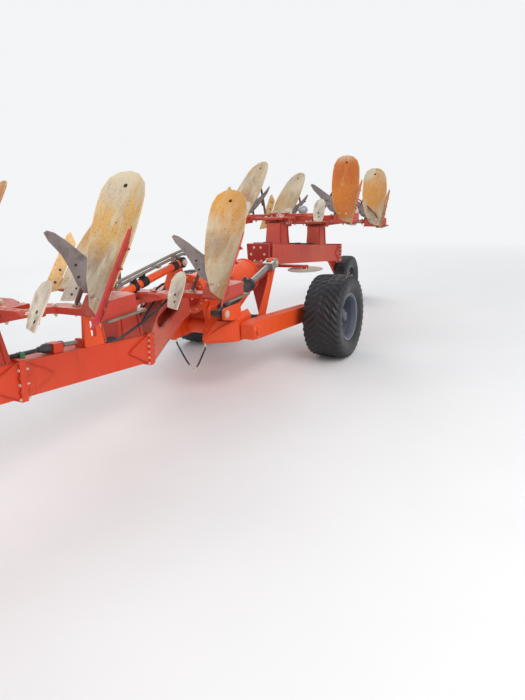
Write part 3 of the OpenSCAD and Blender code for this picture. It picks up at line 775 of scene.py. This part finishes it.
# ---- link tube and pipes on the frame
BRACKET_Z = 0.7017      # top of the front beam under the slotted bracket
dark, bolts, pipes, rim = meshes(4)
A, B = st(3.31, 0.106, BRACKET_Z + 0.238), st(2.405, 0.106, 1.085)
d = (B - A).normalized()
side_v = d.cross(EZ).normalized()
up_v = side_v.cross(d).normalized()
for f, w in ((0.06, 0.05), (0.42, 0.035), (0.52, 0.06), (0.9, 0.05)):
    band = [(0, 0.0285), (0, 0.034), (w, 0.034), (w, 0.0285)]
    lathe(dark, A.lerp(B, f) - d * w / 2, d, band, 28)
for f in (0.42, 0.52):
    c = A.lerp(B, f)
    box(dark, c + up_v * 0.044, (0.03, 0.05, 0.02), frame_of(d))
    bolt(bolts, c + up_v * 0.054, up_v, 0.0085, 0.007)
for c in (A, B):
    turn(bolts, c + EY * 0.029, EY, 20, 0, 24, 6, 24, 6, 18.5, 16, 18.5, 20, 14)
    turn(dark, c - d * 0.001, EY, 28, -28, 36, -24, 40, 24, 40, 28, 36)
piece("link_bands", dark, "dark", bevel=0.0015)
piece("link_pins", bolts, "bolt")

for off in (0.05, 0.076):
    p = A + up_v * off + side_v * 0.012
    q = B + up_v * (off + 0.01) + side_v * 0.012
    tube(pipes, [p - d * 0.04 - up_v * 0.04, p + d * 0.03, p.lerp(q, 0.5) + up_v * 0.006,
                 q - d * 0.03, q + d * 0.055 - up_v * 0.014], 0.0105, 12, 8)
for f in (0.22, 0.68, 0.93):
    c = A.lerp(B, f) + up_v * 0.063 + side_v * 0.012
    box(pipes, c, (0.02, 0.062, 0.03), frame_of(d))
piece("link_pipes", pipes, "grey", bevel=0.001)

tube(rim, [st(x, 0.079, BRACKET_Z + z) for x, z in (
    (3.222, 0), (3.262, 0.262), (3.29, 0.272), (3.33, 0.272), (3.358, 0.262), (3.392, 0.02))],
    0.006, 8, 5)
piece("bracket_rim", rim, "carriage", smooth=60)

# ---- small cylinder and pipe on the beam
blocks, pipe, rod, clips = meshes(4)
a, b = beam_pt(3.56, 0, 0.03, 0.138), beam_pt(3.44, 0, 0.03, 0.134)
beam_box(blocks, 3.59, 0.03, 0.13, (0.07, 0.075, 0.058))
beam_box(blocks, 3.395, 0.03, 0.126, (0.03, 0.07, 0.052))
cylinder(rod, a, b - T7 * 0.01, 0.014, 24)
turn(pipe, a + T7 * 0.005, -T7, 24, 0, 20, 4, 24, 28, 24, 32, 18)
c0 = beam_pt(3.625, 0, 0.03, 0.134)
turn(pipe, c0, T7, 24, 0, 20, 6, 28, 40, 28, 52, 20, 80, 16)
tube(pipe, [c0 + T7 * along - N7 * down for along, down in (
    (0.07, 0), (0.16, 0.004), (0.4, 0.01), (0.9, 0.012), (1.45, 0.014), (2.02, 0.014),
    (2.28, 0.004))], 0.0125, 12, 8)
for along in (0.19, 0.85, 1.5, 2.1):
    g = c0 + T7 * along - N7 * 0.012
    box(clips, g, (0.03, 0.036, 0.034), ON_BEAM)
    bolt(clips, g + N7 * 0.017, N7, 0.006, 0.005, False)
turn(pipe, c0 + T7 * 2.26 - N7 * 0.004, T7, 20, 0, 14, 4, 19, 36, 19, 40, 14)
piece("beam_blocks", blocks, "frame", bevel=0.003)
piece("beam_pipe", pipe, "black")
piece("beam_rod", rod, "chrome")
piece("pipe_clips", clips, "green", bevel=0.003)

# dark pipes over the crank, from the front beam to the centre
bm = bmesh.new()
for y, r, on_beam, over_crank in (
        (0.045, 0.0105, ((3.05, 0.045, 0.122), (2.9, 0.055, 0.155)),
         ((2.72, 0.06, 0.835), (2.55, 0.062, 0.925), (2.42, 0.06, 0.935))),
        (0.015, 0.0085, ((3.05, 0.015, 0.124), (2.9, 0.012, 0.16)),
         ((2.72, 0.005, 0.85), (2.55, 0.01, 0.935), (2.42, 0.01, 0.935)))):
    tube(bm, [beam_pt(3.18, 0, y, 0.112)] + [beam_pt(x, 0, *yz) for x, *yz in on_beam] +
         [st(*p) for p in over_crank], r, 12, 8)
for y in (0.045, 0.015):
    turn(bm, beam_pt(3.195, 0, y, 0.112), -T7, 6, 0, 10, 4, 15, 34, 15, 38, 10)
beam_box(bm, 3.215, 0.03, 0.112, (0.055, 0.07, 0.026))
box(bm, st(2.415, 0.035, 0.925), (0.04, 0.08, 0.034))
piece("crank_pipes", bm, "black", bevel=0.001)

# crank: raised rim round the big oval, welds along its edges
bm = bmesh.new()
OVAL_R, OVAL_X = 0.055, (2.5, 2.68)
for side in SIDES:
    c1, c2 = (st(x, side * 0.091, 0.78 - (x - OVAL_X[0]) * 0.42) for x in OVAL_X)
    dd = (c2 - c1).normalized()
    nn = Vector((-dd.z, 0, dd.x))
    pts = []
    for c, end in ((c1, 1), (c2, -1)):
        for an in (math.pi * k / 12 for k in range(13)):
            pts.append(c - dd * (end * OVAL_R * math.sin(an)) + nn * (end * OVAL_R * math.cos(an)))
    joined(bm, pts + pts[:1], 0.0055)
    z2 = beam_z(2.83)
    for x0, z0, x1, z1 in ((2.811, z2 + 0.094, 2.6, 0.899), (2.6, 0.899, 2.335, 0.909),
                           (2.811, z2 - 0.104, 2.43, 0.651), (2.43, 0.651, 2.335, 0.681)):
        weld(bm, st(x0, side * 0.089, z0), st(x1, side * 0.089, z1), 0.005)
piece("crank_rim", bm, "faded", smooth=60)

# ---- carriage
ribs, bolts, dark = meshes(3)
PIVOT_X, PIVOT_Z = 2.05, 0.5
for side in SIDES:
    ax = EY * side

    def K(x, y, z):
        return st(x, side * y, z)
    # folded ribs that run over the bracket from its foot to the ears
    for rib in (
            ((2.268, 0.166, 0.426), (2.262, 0.168, 0.5), (2.16, 0.236, 0.722),
             (2.075, 0.25, 0.826)),
            ((2.266, 0.17, 0.428), (2.195, 0.285, 0.428), (2.12, 0.393, 0.428)),
            ((2.264, 0.172, 0.47), (2.2, 0.3, 0.56), (2.122, 0.39, 0.602))):
        joined(ribs, [K(*p) for p in rib], 0.0065)
    # pivot pin: round keeper with three bolts, outside the arm, and its dark centre
    turn(ribs, K(PIVOT_X, 0.5145, PIVOT_Z), ax, 32, 0, 60, 8, 60, 10, 57, 10, 30, 24, 28, 26, 24)
    cylinder(dark, K(PIVOT_X, 0.524, PIVOT_Z), K(PIVOT_X, 0.5395, PIVOT_Z), 0.0245, 24)
    for dx, dz in around(3, 0.044, 0.5):
        bolt(bolts, K(PIVOT_X + dx, 0.5245, PIVOT_Z + dz), ax, 0.0075, 0.006, False)
    # pin of the lift cylinder at the ears
    for y, o in ((0.388, 1), (0.232, -1)):
        turn(bolts, K(2.27, y, 0.68), ax * o, 24, 0, 30, 6, 30, 6, 21, 12, 20, 14, 15)
    # round hole in the arm's side, a dark disc of painted shade
    cylinder(dark, K(1.985, 0.5145, 0.49), K(1.985, 0.516, 0.49), 0.014, 20)
    # bolts through the housing's side plates
    for x, z in ((1.48, 0.75), (1.64, 0.66), (2.12, 0.75)):
        bolt(bolts, K(x, 0.142, z), ax, 0.0115, 0.009)
piece("carriage_ribs", ribs, "carriage", "carriage", smooth=60)
piece("carriage_bolts", bolts, "bolt", "carriage")
piece("arm_holes", dark, "dark", "wheel_arms")

NIPPLE = [(0, 0.007), (0.006, 0.007), (0.008, 0.004), (0.014, 0.004), (0.017, 0.0025)]
# end rings of the housing, with their bolts and grease nipples
rings, bolts = meshes(2)
for x, d in ((1.32, -1), (2.2, 1)):
    turn(rings, st(x, 0, AXIS_Z), EX * d, 64, -20, 150.5, -20, 160, 0, 160, 6, 155, 6, 112, -1, 112)
    for y, z in around(12, 0.134):
        bolt(bolts, st(x + d * 0.006, y, AXIS_Z + z), EX * d, 0.0085, 0.006, False)
for x in (1.42, 1.76, 2.1):
    lathe(bolts, st(x, 0.03, AXIS_Z + 0.1465), (0, 0.2, 1), NIPPLE, 12)
piece("housing_rings", rings, "carriage", "carriage")
piece("housing_bolts", bolts, "bolt", "carriage")

# black cross tube with its sleeve between the wheel arms
sleeve, welds = meshes(2)
lathe(sleeve, st(1.6, -0.288, 0.455), EY, [
    (0, 0.0455), (0, 0.052), (0.02, 0.056), (0.03, 0.052), (0.546, 0.052), (0.556, 0.056),
    (0.576, 0.052), (0.576, 0.0455)], 48)
piece("cross_tube_sleeve", sleeve, "black", "wheel_arms")
for side in SIDES:
    # welds where the levers stand on the tube, end rings of the arms
    weld(welds, st(1.56, side * 0.288, 0.48), st(1.64, side * 0.288, 0.474), 0.005)
    weld(welds, st(0.95, side * 0.515, 0.47), st(0.912, side * 0.515, 0.432), 0.005)
    turn(welds, st(0.99, side * 0.5145, 0.39), EY * side, 32,
         0, 50, 10, 46, 24, 36, 24, 30.5, 0, 30.5)
    turn(welds, st(1.35, side * 0.332, 0.93), EY * side, 32, -3, 38, 0, 38, 0, 27, -3, 27)
piece("arm_welds", welds, "carriage", "wheel_arms", smooth=45)

# ---- lift cylinders
LIFT_Y = 0.31
L_A, L_B = Vector((2.27, 0, 0.68)), Vector((1.35, 0, 0.93))
L_D = (L_B - L_A).normalized()
L_N = Vector((L_D.z, 0, -L_D.x))
for side, sname in NAMED_SIDES:
    def on_lift(t, up):
        """a point along the cylinder from its foot pin, up from its axis"""
        return st(L_A.x, side * LIFT_Y, L_A.z) + L_D * t + L_N * up
    rings, pipe, eye = meshes(3)
    turn(rings, on_lift(0.074, 0), L_D, 40, 0, 30, 4, 47, 20, 47.5, 24, 46.5)
    turn(rings, on_lift(0.486, 0), L_D, 40, 0, 46.5, 4, 52.5, 40, 52.5, 46, 46, 46, 26.5)
    for t in (0.125, 0.47):
        cylinder(rings, on_lift(t, 0.04), on_lift(t, 0.064), 0.0135, 20, cham=0.002)
        turn(pipe, on_lift(t, 0.062), L_N, 6, 0, 12.5, 12, 12.5, 13, 9, 20, 9)
    # steel pipe from the rod end's port back to the foot
    tube(pipe, [on_lift(0.47, 0.078), on_lift(0.455, 0.086), on_lift(0.42, 0.08),
                on_lift(0.3, 0.066), on_lift(0.2, 0.066),
                on_lift(0.15, 0.078) + EY * (side * 0.012)], 0.0065, 10, 6)
    for t in (0.24, 0.37):
        torus(rings, on_lift(t, 0), L_D, 0.0475, 0.0022, 40, 6)
        box(rings, on_lift(t, 0.058), (0.014, 0.018, 0.02), frame_of(L_D))
    piece("barrel_rings_" + sname, rings, "barrel", "barrel_" + sname, bevel=0.001)
    piece("barrel_pipe_" + sname, pipe, "black", "barrel_" + sname)
    e = st(L_B.x, side * LIFT_Y, L_B.z)
    for s2 in SIDES:
        turn(eye, e + EY * (s2 * 0.05), EY * s2, 24, 0, 28, 4, 28, 4, 20, 10, 19, 12, 14)
        p, q = (e + Vector((0, s2 * y, 0.024)) for y in (0.054, 0.062))
        cylinder(eye, p, q, 0.005, 6)
    piece("rod_eye_" + sname, eye, "bolt", "rod_" + sname)

# ---- wheels
TYRE = [(0.131, 0.2005), (0.14, 0.212), (0.152, 0.228), (0.163, 0.25), (0.171, 0.276),
        (0.1745, 0.3), (0.1745, 0.322), (0.17, 0.344), (0.161, 0.361), (0.147, 0.3705),
        (0.12, 0.3745), (0.08, 0.3765), (0.04, 0.3775), (0.0, 0.378)]
TYRE_INSIDE = [(-0.122, 0.204), (-0.14, 0.255), (-0.14, 0.325), (0, 0.345), (0.14, 0.325),
               (0.14, 0.255), (0.122, 0.204)]
TYRE_HALF_W, TYRE_R = 0.1745, 0.3898    # nothing of the tread stands out further
SIDEWALL_RINGS = (0.232, 0.262, 0.318)
STEPS_ROUND, LUGS, LUG_H = 640, 38, 0.0092


def tyre_profile(n):
    """(w, r) evenly spaced along the outside from one bead to the other"""
    path = smooth_path([(w, r, 0) for w, r in TYRE + [(-w, r) for w, r in reversed(TYRE[:-1])]], 6)
    acc = [0.0]
    for a, b in zip(path, path[1:]):
        acc.append(acc[-1] + (b - a).length)
    out, j = [], 0
    for i in range(n):
        t = acc[-1] * i / (n - 1)
        while j < len(acc) - 2 and acc[j + 1] < t:
            j += 1
        f = (t - acc[j]) / (acc[j + 1] - acc[j])
        p = path[j].lerp(path[j + 1], min(1.0, f))
        out.append((p.x, p.y))
    return out


def sstep(a, b, x):
    t = min(1.0, max(0.0, (x - a) / (b - a)))
    return t * t * (3 - 2 * t)


def tread_at(th, w, r):
    """(w, r) of the tyre's skin with swept V lugs and ringed sidewalls, at the angle th"""
    aw, add = abs(w), 0.0
    if r > 0.335:
        sweep = 2.15 * (aw / 0.16) ** 1.15 + 0.12 * math.sin(aw * 95.0)
        f = (th * LUGS / (2 * math.pi) + (0.5 if w > 0 else 0.0) + sweep) % 1.0
        lug = sstep(0.04, 0.14, f) * (1 - sstep(0.46, 0.58, f)) * sstep(0.004, 0.012, aw)
        add = LUG_H * lug * sstep(0.335, 0.362, r)
    if aw > 0.1:
        ring = max(0.0016 * (1 - sstep(0.002, 0.005, abs(r - rr))) for rr in SIDEWALL_RINGS)
        w += math.copysign(ring + (add * 0.35 if r < 0.372 else 0.0), w)
    return max(-TYRE_HALF_W, min(TYRE_HALF_W, w)), min(TYRE_R, r + add)


def turned(bm, c, n, section):
    """closed rings of vertices about the y axis; section(i, angle) gives the (w, r) of one"""
    loops = []
    for i in range(n):
        th = 2 * math.pi * i / n
        loops.append([bm.verts.new(c + Vector((r * math.cos(th), w, r * math.sin(th))))
                      for w, r in section(i, th)])
    skin(bm, loops, caps=False)


PROFILE = tyre_profile(92)
for side, sname in NAMED_SIDES:
    body, node = "wheel_" + sname, "tyre_" + sname
    ax, c = EY * side, st(0.99, side * 0.765, 0.39)
    tread, hub, nuts, holes, lips = meshes(5)
    turned(tread, c, STEPS_ROUND, lambda i, th: [tread_at(th, *wr) for wr in PROFILE] + TYRE_INSIDE)
    ob = piece("tread_" + sname, tread, "tyre", body, smooth=50)
    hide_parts(node)
    # hub cap, flange and eight nuts
    turn(hub, c + ax * 0.012, ax, 48, 0, 160, 4, 158, 10, 130, 24, 112, 30, 95, 30, 70)
    turn(hub, c + ax * 0.068, ax, 40, 0, 68, 6, 66, 8, 50, 34, 48, 44, 40, 48, 22, 49, 4)
    for x, z in around(8, 0.094, math.pi / 8):
        p = c + ax * 0.041 + Vector((x, 0, z))
        cylinder(nuts, p - ax * 0.004, p + ax * 0.004, 0.016, 20)
        nut(nuts, p + ax * 0.003, ax, 0.0125, False)
    # hand holes that face out and away from the hub, dark plugs of painted shade
    for x, z in around(8, 1.0):
        out = Vector((x, 0, z))
        dd = (ax + out * 0.45).normalized()
        turn(holes, c + ax * 0.0225 + out * 0.1385 - dd * 0.008, dd, 24, 0, 11, 9.5, 11)
    # pale lip along each edge of the rim, valve stem
    for s2 in SIDES:
        torus(lips, c + ax * s2 * 0.1475, ax, 0.2155, 0.0032, 96, 8)
    p = c + ax * 0.06 + EX * 0.176
    cylinder(nuts, p, p + ax * 0.038 - EX * 0.012, 0.0045, 10)
    piece("hub_" + sname, hub, "rim", body)
    piece("wheel_nuts_" + sname, nuts, "bolt", body)
    piece("hand_holes_" + sname, holes, "dark", body)
    piece("rim_lip_" + sname, lips, "lip", body)

# rear depth wheel: ribbed tread in place of the plain solid, hub and nuts
tread, nuts = meshes(2)
DEPTH_TYRE = [(-0.075, 0.16), (-0.083, 0.185), (-0.088, 0.23), (-0.087, 0.268), (-0.078, 0.29),
              (-0.064, 0.2965), (-0.052, 0.2995), (-0.046, 0.2995), (-0.042, 0.292),
              (-0.026, 0.2925), (-0.022, 0.2998), (-0.006, 0.2998), (-0.003, 0.292)]
DEPTH_SECTION = DEPTH_TYRE + [(-w, r) for w, r in reversed(DEPTH_TYRE)] + [
    (0.07, 0.164), (0.06, 0.25), (-0.06, 0.25), (-0.07, 0.164)]
c = st(-1.5, 0, 0.3)
turned(tread, c, 120, lambda i, th: [(w, r - (0.006 if r > 0.295 and i % 5 == 0 else 0.0))
                                     for w, r in DEPTH_SECTION])
ob = piece("depth_tread", tread, "tyre", "depth_wheel", smooth=40)
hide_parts("depth_tyre")
for s2 in SIDES:
    for x, z in around(5, 0.085):
        bolt(nuts, c + Vector((x, s2 * 0.012, z)), EY * s2, 0.012, 0.01)
turn(nuts, c + EY * 0.08, EY, 28, 0, 36, 6, 34, 12, 22, 14, 6)
piece("depth_nuts", nuts, "bolt", "depth_wheel")

# ---- rear post: chain, pipes and plates
chain, welds, bolts = meshes(3)
path = smooth_path([st(1.028, 0.052, 0.64), st(1.046, 0.058, 0.56), st(1.05, 0.045, 0.48),
                    st(1.046, 0.03, 0.42)], 8)
acc, k = 0.0, 0
for a, b in zip(path, path[1:]):
    acc += (b - a).length
    if acc > 0.026:
        acc = 0.0
        k += 1
        t = (b - a).normalized()
        across = t.cross(Vector((1, 0.2, 0) if k % 2 else (0.2, -1, 0))).normalized()
        link = [b + t * (0.02 * x) + across * (0.0105 * y) for x, y in around(12, 1.0)]
        joined(chain, link + link[:1], 0.0036, 6)
piece("post_chain", chain, "rod", smooth=60)
for side in SIDES:
    weld(welds, st(1.0, side * 0.06, 0.765), st(0.925, side * 0.06, 0.862), 0.005)
    tube(welds, [st(1.041, side * y, z) for y, z in (
        (0.104, 1.05), (0.1, 0.7), (0.064, 0.6), (0.016, 0.372))], 0.0055, 8, 1)
box(welds, st(1.046, 0, 0.7), (0.012, 0.15, 0.04))
piece("post_welds", welds, "red", smooth=45)
for y, z in around(6, 1.0):
    bolt(bolts, st(1.04, y * 0.0738, 0.96 + z * 0.075), EX, 0.0095, 0.006)
piece("post_bolts", bolts, "bolt")

# ---- rear supports: dome, flat bars, rods
dome, bars, rods, pipes, hose = meshes(5)
turn(dome, st(0.23, 0.13, beam_z(0.6) + 0.3565), EZ, 32,
     0, 30, 30, 30, 34, 44, 60, 52, 84, 46, 100, 30, 107, 10)
piece("valve_dome", dome, "lip", slot="worn_steel")
for x in STATIONS[3:]:
    z = beam_z(x) + 0.368
    for side in SIDES:
        box(bars, st(x - 0.16, side * 0.175, z), (0.06, 0.15, 0.016))
        box(bars, st(x + 0.04, side * 0.16, z), (0.05, 0.12, 0.016))
piece("support_bars", bars, "leg", bevel=0.002)

for side in SIDES:
    a, b, d = (body_pt(STATIONS[4], side, *uvw) for uvw in (
        (0.2, 0.0845, 0.12), (0.48, 0.3, 0.42), (0.33, 0.067, 0.5)))
    tube(rods, [a, a + Vector((0.004, 0, 0.04)), a.lerp(b, 0.5) + EZ * 0.03, b], 0.0085)
    tube(rods, [d, d + EZ * 0.06, d + Vector((0.1, side * 0.03, 0.18))], 0.0085)
piece("rear_rods", rods, "rod")

# pipes along the rear beam
for y in (-0.02, 0.01):
    for run in (((0.88, 0.108), (0.76, 0.11), (0.735, 0.11)),
                ((0.46, 0.109), (0.2, 0.109), (-0.29, 0.109))):
        tube(pipes, [beam_pt(x, 0, y, up) for x, up in run], 0.0085, 10, 4)
for x in (0.85, 0.42, 0.1, -0.24):
    beam_box(pipes, x, -0.005, 0.11, (0.026, 0.062, 0.022))
piece("rear_pipes", pipes, "black", bevel=0.001)

# a black hose clipped from the front beam to the crank
tube(hose, [st(3.2, 0.07, beam_z(3.2) + 0.106), st(3.121, 0.12, 0.711),
            st(2.948, 0.13, 0.754), st(2.761, 0.13, 0.807), st(2.63, 0.122, 0.85),
            st(2.54, 0.096, 0.89), st(2.47, 0.07, 0.9)], 0.0085)
piece("frame_hose", hose, "black")

# ---- headstock and front
bushes, bolts = meshes(2)
YAW_X, LINK_X, LINK_Z = 6.56, 6.76, 0.62
LINK_SPAN, MAST_H = 0.965, 0.685        # hitch of category 3
for side in SIDES:
    ax = EY * side
    # bushes round the top link hole
    turn(bushes, st(LINK_X - 0.01, side * 0.0595, LINK_Z + MAST_H), ax, 40,
         0, 30, 7, 30, 8, 28, 8, 16.5, 0, 16.5)
    # weld between the mast and the yaw post
    p, q = (st(YAW_X + 0.092, side * 0.059, z) for z in (0.56, 0.88))
    weld(bushes, p, q, 0.005)
    for dx, z in ((-0.04, 0.8), (-0.035, 0.9), (-0.03, 1.0)):
        bolt(bolts, st(LINK_X + dx, side * 0.06, z), ax, 0.0115, 0.009)
    # linch pin and its ring at the end of each lower link pin
    e = st(LINK_X, side * (LINK_SPAN / 2 + 0.104), LINK_Z)
    cylinder(bolts, e + EZ * 0.029, e - EZ * 0.029, 0.005, 12, cham=0.0008)
    torus(bolts, e + EZ * 0.028, (0, 1, 0.3), 0.019, 0.0022, 28, 6)
# keepers of the yaw post, which ride with the headstock too
for z, d in ((0.67, -1), (0.95, 1)):
    turn(bolts, st(YAW_X, 0, z), EZ * d, 32, 0, 35.5, 21, 35.5, 21, 52, 30, 52, 34, 46)
    for x, y in around(4, 0.063, math.pi / 4):
        bolt(bolts, st(YAW_X + x, y, z), EZ * d, 0.008, 0.006, False)
piece("mast_bushes", bushes, "frame", "headstock", smooth=45)
piece("mast_bolts", bolts, "bolt", "headstock")

rings, bolts, pin, holes, webs, collars = meshes(6)
turn(rings, st(6.07, 0, AXIS_Z), -EX, 64, -18, 130.5, -18, 138, 2, 138, 6, 134, 6, 86, -1, 86)
for y, z in around(8, 0.111, math.pi / 8):
    bolt(bolts, st(6.064, y, AXIS_Z + z), -EX, 0.0085, 0.006, False)
for z in (0.71, 0.95):
    for side in SIDES:
        weld(rings, st(6.35, side * 0.079, z), st(6.47, side * 0.079, z), 0.005)
lathe(bolts, st(6.22, 0, 0.9285), EZ, NIPPLE, 12)
piece("turn_rings", rings, "frame", "turn_housing", smooth=45)
piece("turn_bolts", bolts, "bolt", "turn_housing")

# stand: pin with its ring through the sleeve, row of holes in the leg as dark discs of painted
# shade, webs on the foot
STAND_X, STAND_Y = 6.205, 0.175
p, q = (st(STAND_X, STAND_Y + y, 0.6) for y in (0.0355, 0.105))
cylinder(pin, p, q, 0.01, 20, 0.001)
torus(pin, st(STAND_X, STAND_Y + 0.118, 0.6), EX, 0.018, 0.003, 28, 6)
piece("stand_pin", pin, "bolt", "turn_housing")
for z in (0.13 + k * 0.085 for k in range(5)):
    for side in SIDES:
        p, q = (st(STAND_X, STAND_Y + side * y, z) for y in (0.034, 0.03485))
        cylinder(holes, p, q, 0.0115, 20)
piece("stand_holes", holes, "dark", "stand")
for dx, dy in ((1, 0), (-1, 0), (0, -1)):
    out = Vector((dx, dy, 0))
    foot = st(STAND_X, STAND_Y, 0.012) + out * 0.0345
    tri = [foot, foot + out * 0.055, foot + EZ * 0.07]
    half = Vector((dy, dx, 0)) * 0.003
    slab(webs, [q + half for q in tri], [q - half for q in tri])
piece("stand_webs", webs, "stand", "stand")

# stops and hubs on the cross shaft
for side in SIDES:
    turn(collars, st(LINK_X, side * 0.4675, LINK_Z), EY * side, 40,
         0, 46, 0, 56, 6, 58, 24, 58, 30, 53, 30, 19)
    turn(collars, st(LINK_X, side * 0.093, LINK_Z), EY * side, 40, 0, 46, 0, 56, 12, 52, 14, 46)
    bolt(collars, st(LINK_X, side * 0.08, LINK_Z + 0.059), EZ, 0.009, 0.007, False)
piece("shaft_collars", collars, "worn", "cross_shaft")

# discs: four bolts and nuts each
DISC_Z = beam_z(0.6) - HALF_H / math.cos(SLOPE) + 0.125 * math.tan(SLOPE) - 0.0383
for side, sname in NAMED_SIDES:
    bm = bmesh.new()
    for x, y in around(4, 0.037, math.pi / 4):
        at = st(0.75 + x, side * 0.37 + y, DISC_Z)
        bolt(bm, at - EZ * 0.0115, -EZ, 0.007, 0.005, False)
        nut(bm, at + EZ * 0.0055, EZ, 0.006, False)
    piece("disc_bolts_" + sname, bm, "bolt", "disc_" + sname)

# depth arm: clamp bolts and the pivot's keeper
bm = bmesh.new()
z = beam_z(-1.0)
for x in (-1.12, -1.07):
    bolt(bm, st(x, -0.13, z), -EY, 0.012, 0.009)
turn(bm, st(-1.152, 0, z), -EX, 24, -2, 34, 4, 34, 4, 30, 12, 28)
piece("depth_arm_bolts", bm, "bolt", "depth_arm")

# ---- two free hoses under the pivot
EXIT_A, EXIT_B = st(2.215, -0.165, 0.4245), st(2.262, 0.16, 0.4245)
HOSE_D = 0.013


def hose_curve(name, path):
    cu = bpy.data.curves.new(name, "CURVE")
    cu.dimensions = "3D"
    sp = cu.splines.new("POLY")
    sp.points.add(len(path) - 1)
    for q, v in zip(sp.points, path):
        q.co = (*v, 1.0)
    cu.bevel_depth = HOSE_D / 2
    cu.bevel_resolution = 4
    cu.use_fill_caps = True
    ob = link_new(name, cu)
    cu.materials.append(M["hose"])
    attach(ob, "carriage")
    return ob


for name, pts in (
        ("hose_right", [EXIT_A, EXIT_A + Vector((0.002, 0.006, -0.04)), st(2.228, -0.12, 0.33),
                        st(2.242, -0.062, 0.255), st(2.252, -0.01, 0.2)]),
        ("hose_left", [EXIT_B, EXIT_B + Vector((-0.001, -0.004, -0.04)), st(2.26, 0.12, 0.32),
                       st(2.258, 0.08, 0.25), st(2.256, 0.04, 0.196)])):
    path = smooth_path(pts, 4)
    ob = hose_curve(name, path)
    fitting, ferrule = meshes(2)
    d = (path[-1] - path[-2]).normalized()
    lathe(fitting, path[-1] - d * 0.02, d, [
        (0, 0.0068), (0.002, 0.009), (0.026, 0.009), (0.028, 0.0075), (0.034, 0.0075),
        (0.036, 0.01), (0.05, 0.01), (0.052, 0.006)], 16)
    tip = piece(name + "_end", fitting, "ptfe", "carriage")
    lathe(ferrule, path[0], path[1] - path[0], [
        (-0.002, 0.012), (0.006, 0.012), (0.008, 0.009), (0.03, 0.0088), (0.032, 0.0068)], 18)
    root = piece(name + "_root", ferrule, "bolt", "carriage")


# ---- stage
BACKDROP = (0.9, 0.91, 0.92, 1)
SKY = (0.93, 0.95, 1.0, 1)
PALE_FROM, PALE_TO = 4.0, 11.0      # where the floor runs into the pale backdrop


def stage_floor():
    bm = bmesh.new()
    bmesh.ops.create_grid(bm, x_segments=1, y_segments=1, size=150.0)
    me = bpy.data.meshes.new("floor")
    bm.to_mesh(me)
    bm.free()
    m = Mat("floor_plain")
    tones = {0: m.noise(1.2, 3.0), 6: (0.74, 0.74, 0.73), 7: (0.8, 0.8, 0.79)}
    m.put(m.bsdf, {"Base Color": m.node("ShaderNodeMix", tones, data_type="RGBA").outputs[2],
                   "Roughness": 0.9})
    far = m.math("SUBTRACT", 1.0, m.near((0, 0, 0), PALE_FROM, PALE_TO))
    em = m.node("ShaderNodeEmission", {0: BACKDROP, 1: 1.0})
    m.put(m.out, {0: m.mix_shader(m.mul(far, m.camera_ray()), m.bsdf, em)})
    me.materials.append(m.m)
    ob = link_new("floor", me)


def area(name, loc, target, size, power):
    li = bpy.data.lights.new(name, "AREA")
    li.shape = "RECTANGLE"
    li.size, li.size_y = size
    li.energy = power
    aim = (Vector(target) - Vector(loc)).normalized().to_track_quat("-Z", "Y")
    link_new(name, li).matrix_world = Matrix.Translation(loc) @ aim.to_matrix().to_4x4()


stage_floor()
area("key", (2.0, 7.0, 6.5), (0, 0, 0.7), (7, 6), 480)
area("fill", (8.5, -3.0, 5.0), (0, 0, 0.7), (5, 5), 240)
area("back", (-7.0, -6.0, 6.0), (0, 0, 0.8), (6, 5), 300)
world = bpy.data.worlds.new("world")
bpy.context.scene.world = world
world.use_nodes = True
sky = Tree(world.node_tree)
lit = sky.node("ShaderNodeBackground", {0: SKY, 1: 0.7})
seen = sky.node("ShaderNodeBackground", {0: BACKDROP, 1: 1.0})
sky.node("ShaderNodeOutputWorld", {0: sky.mix_shader(sky.camera_ray(), lit, seen)})
bpy.context.scene.view_settings.view_transform = "Standard"
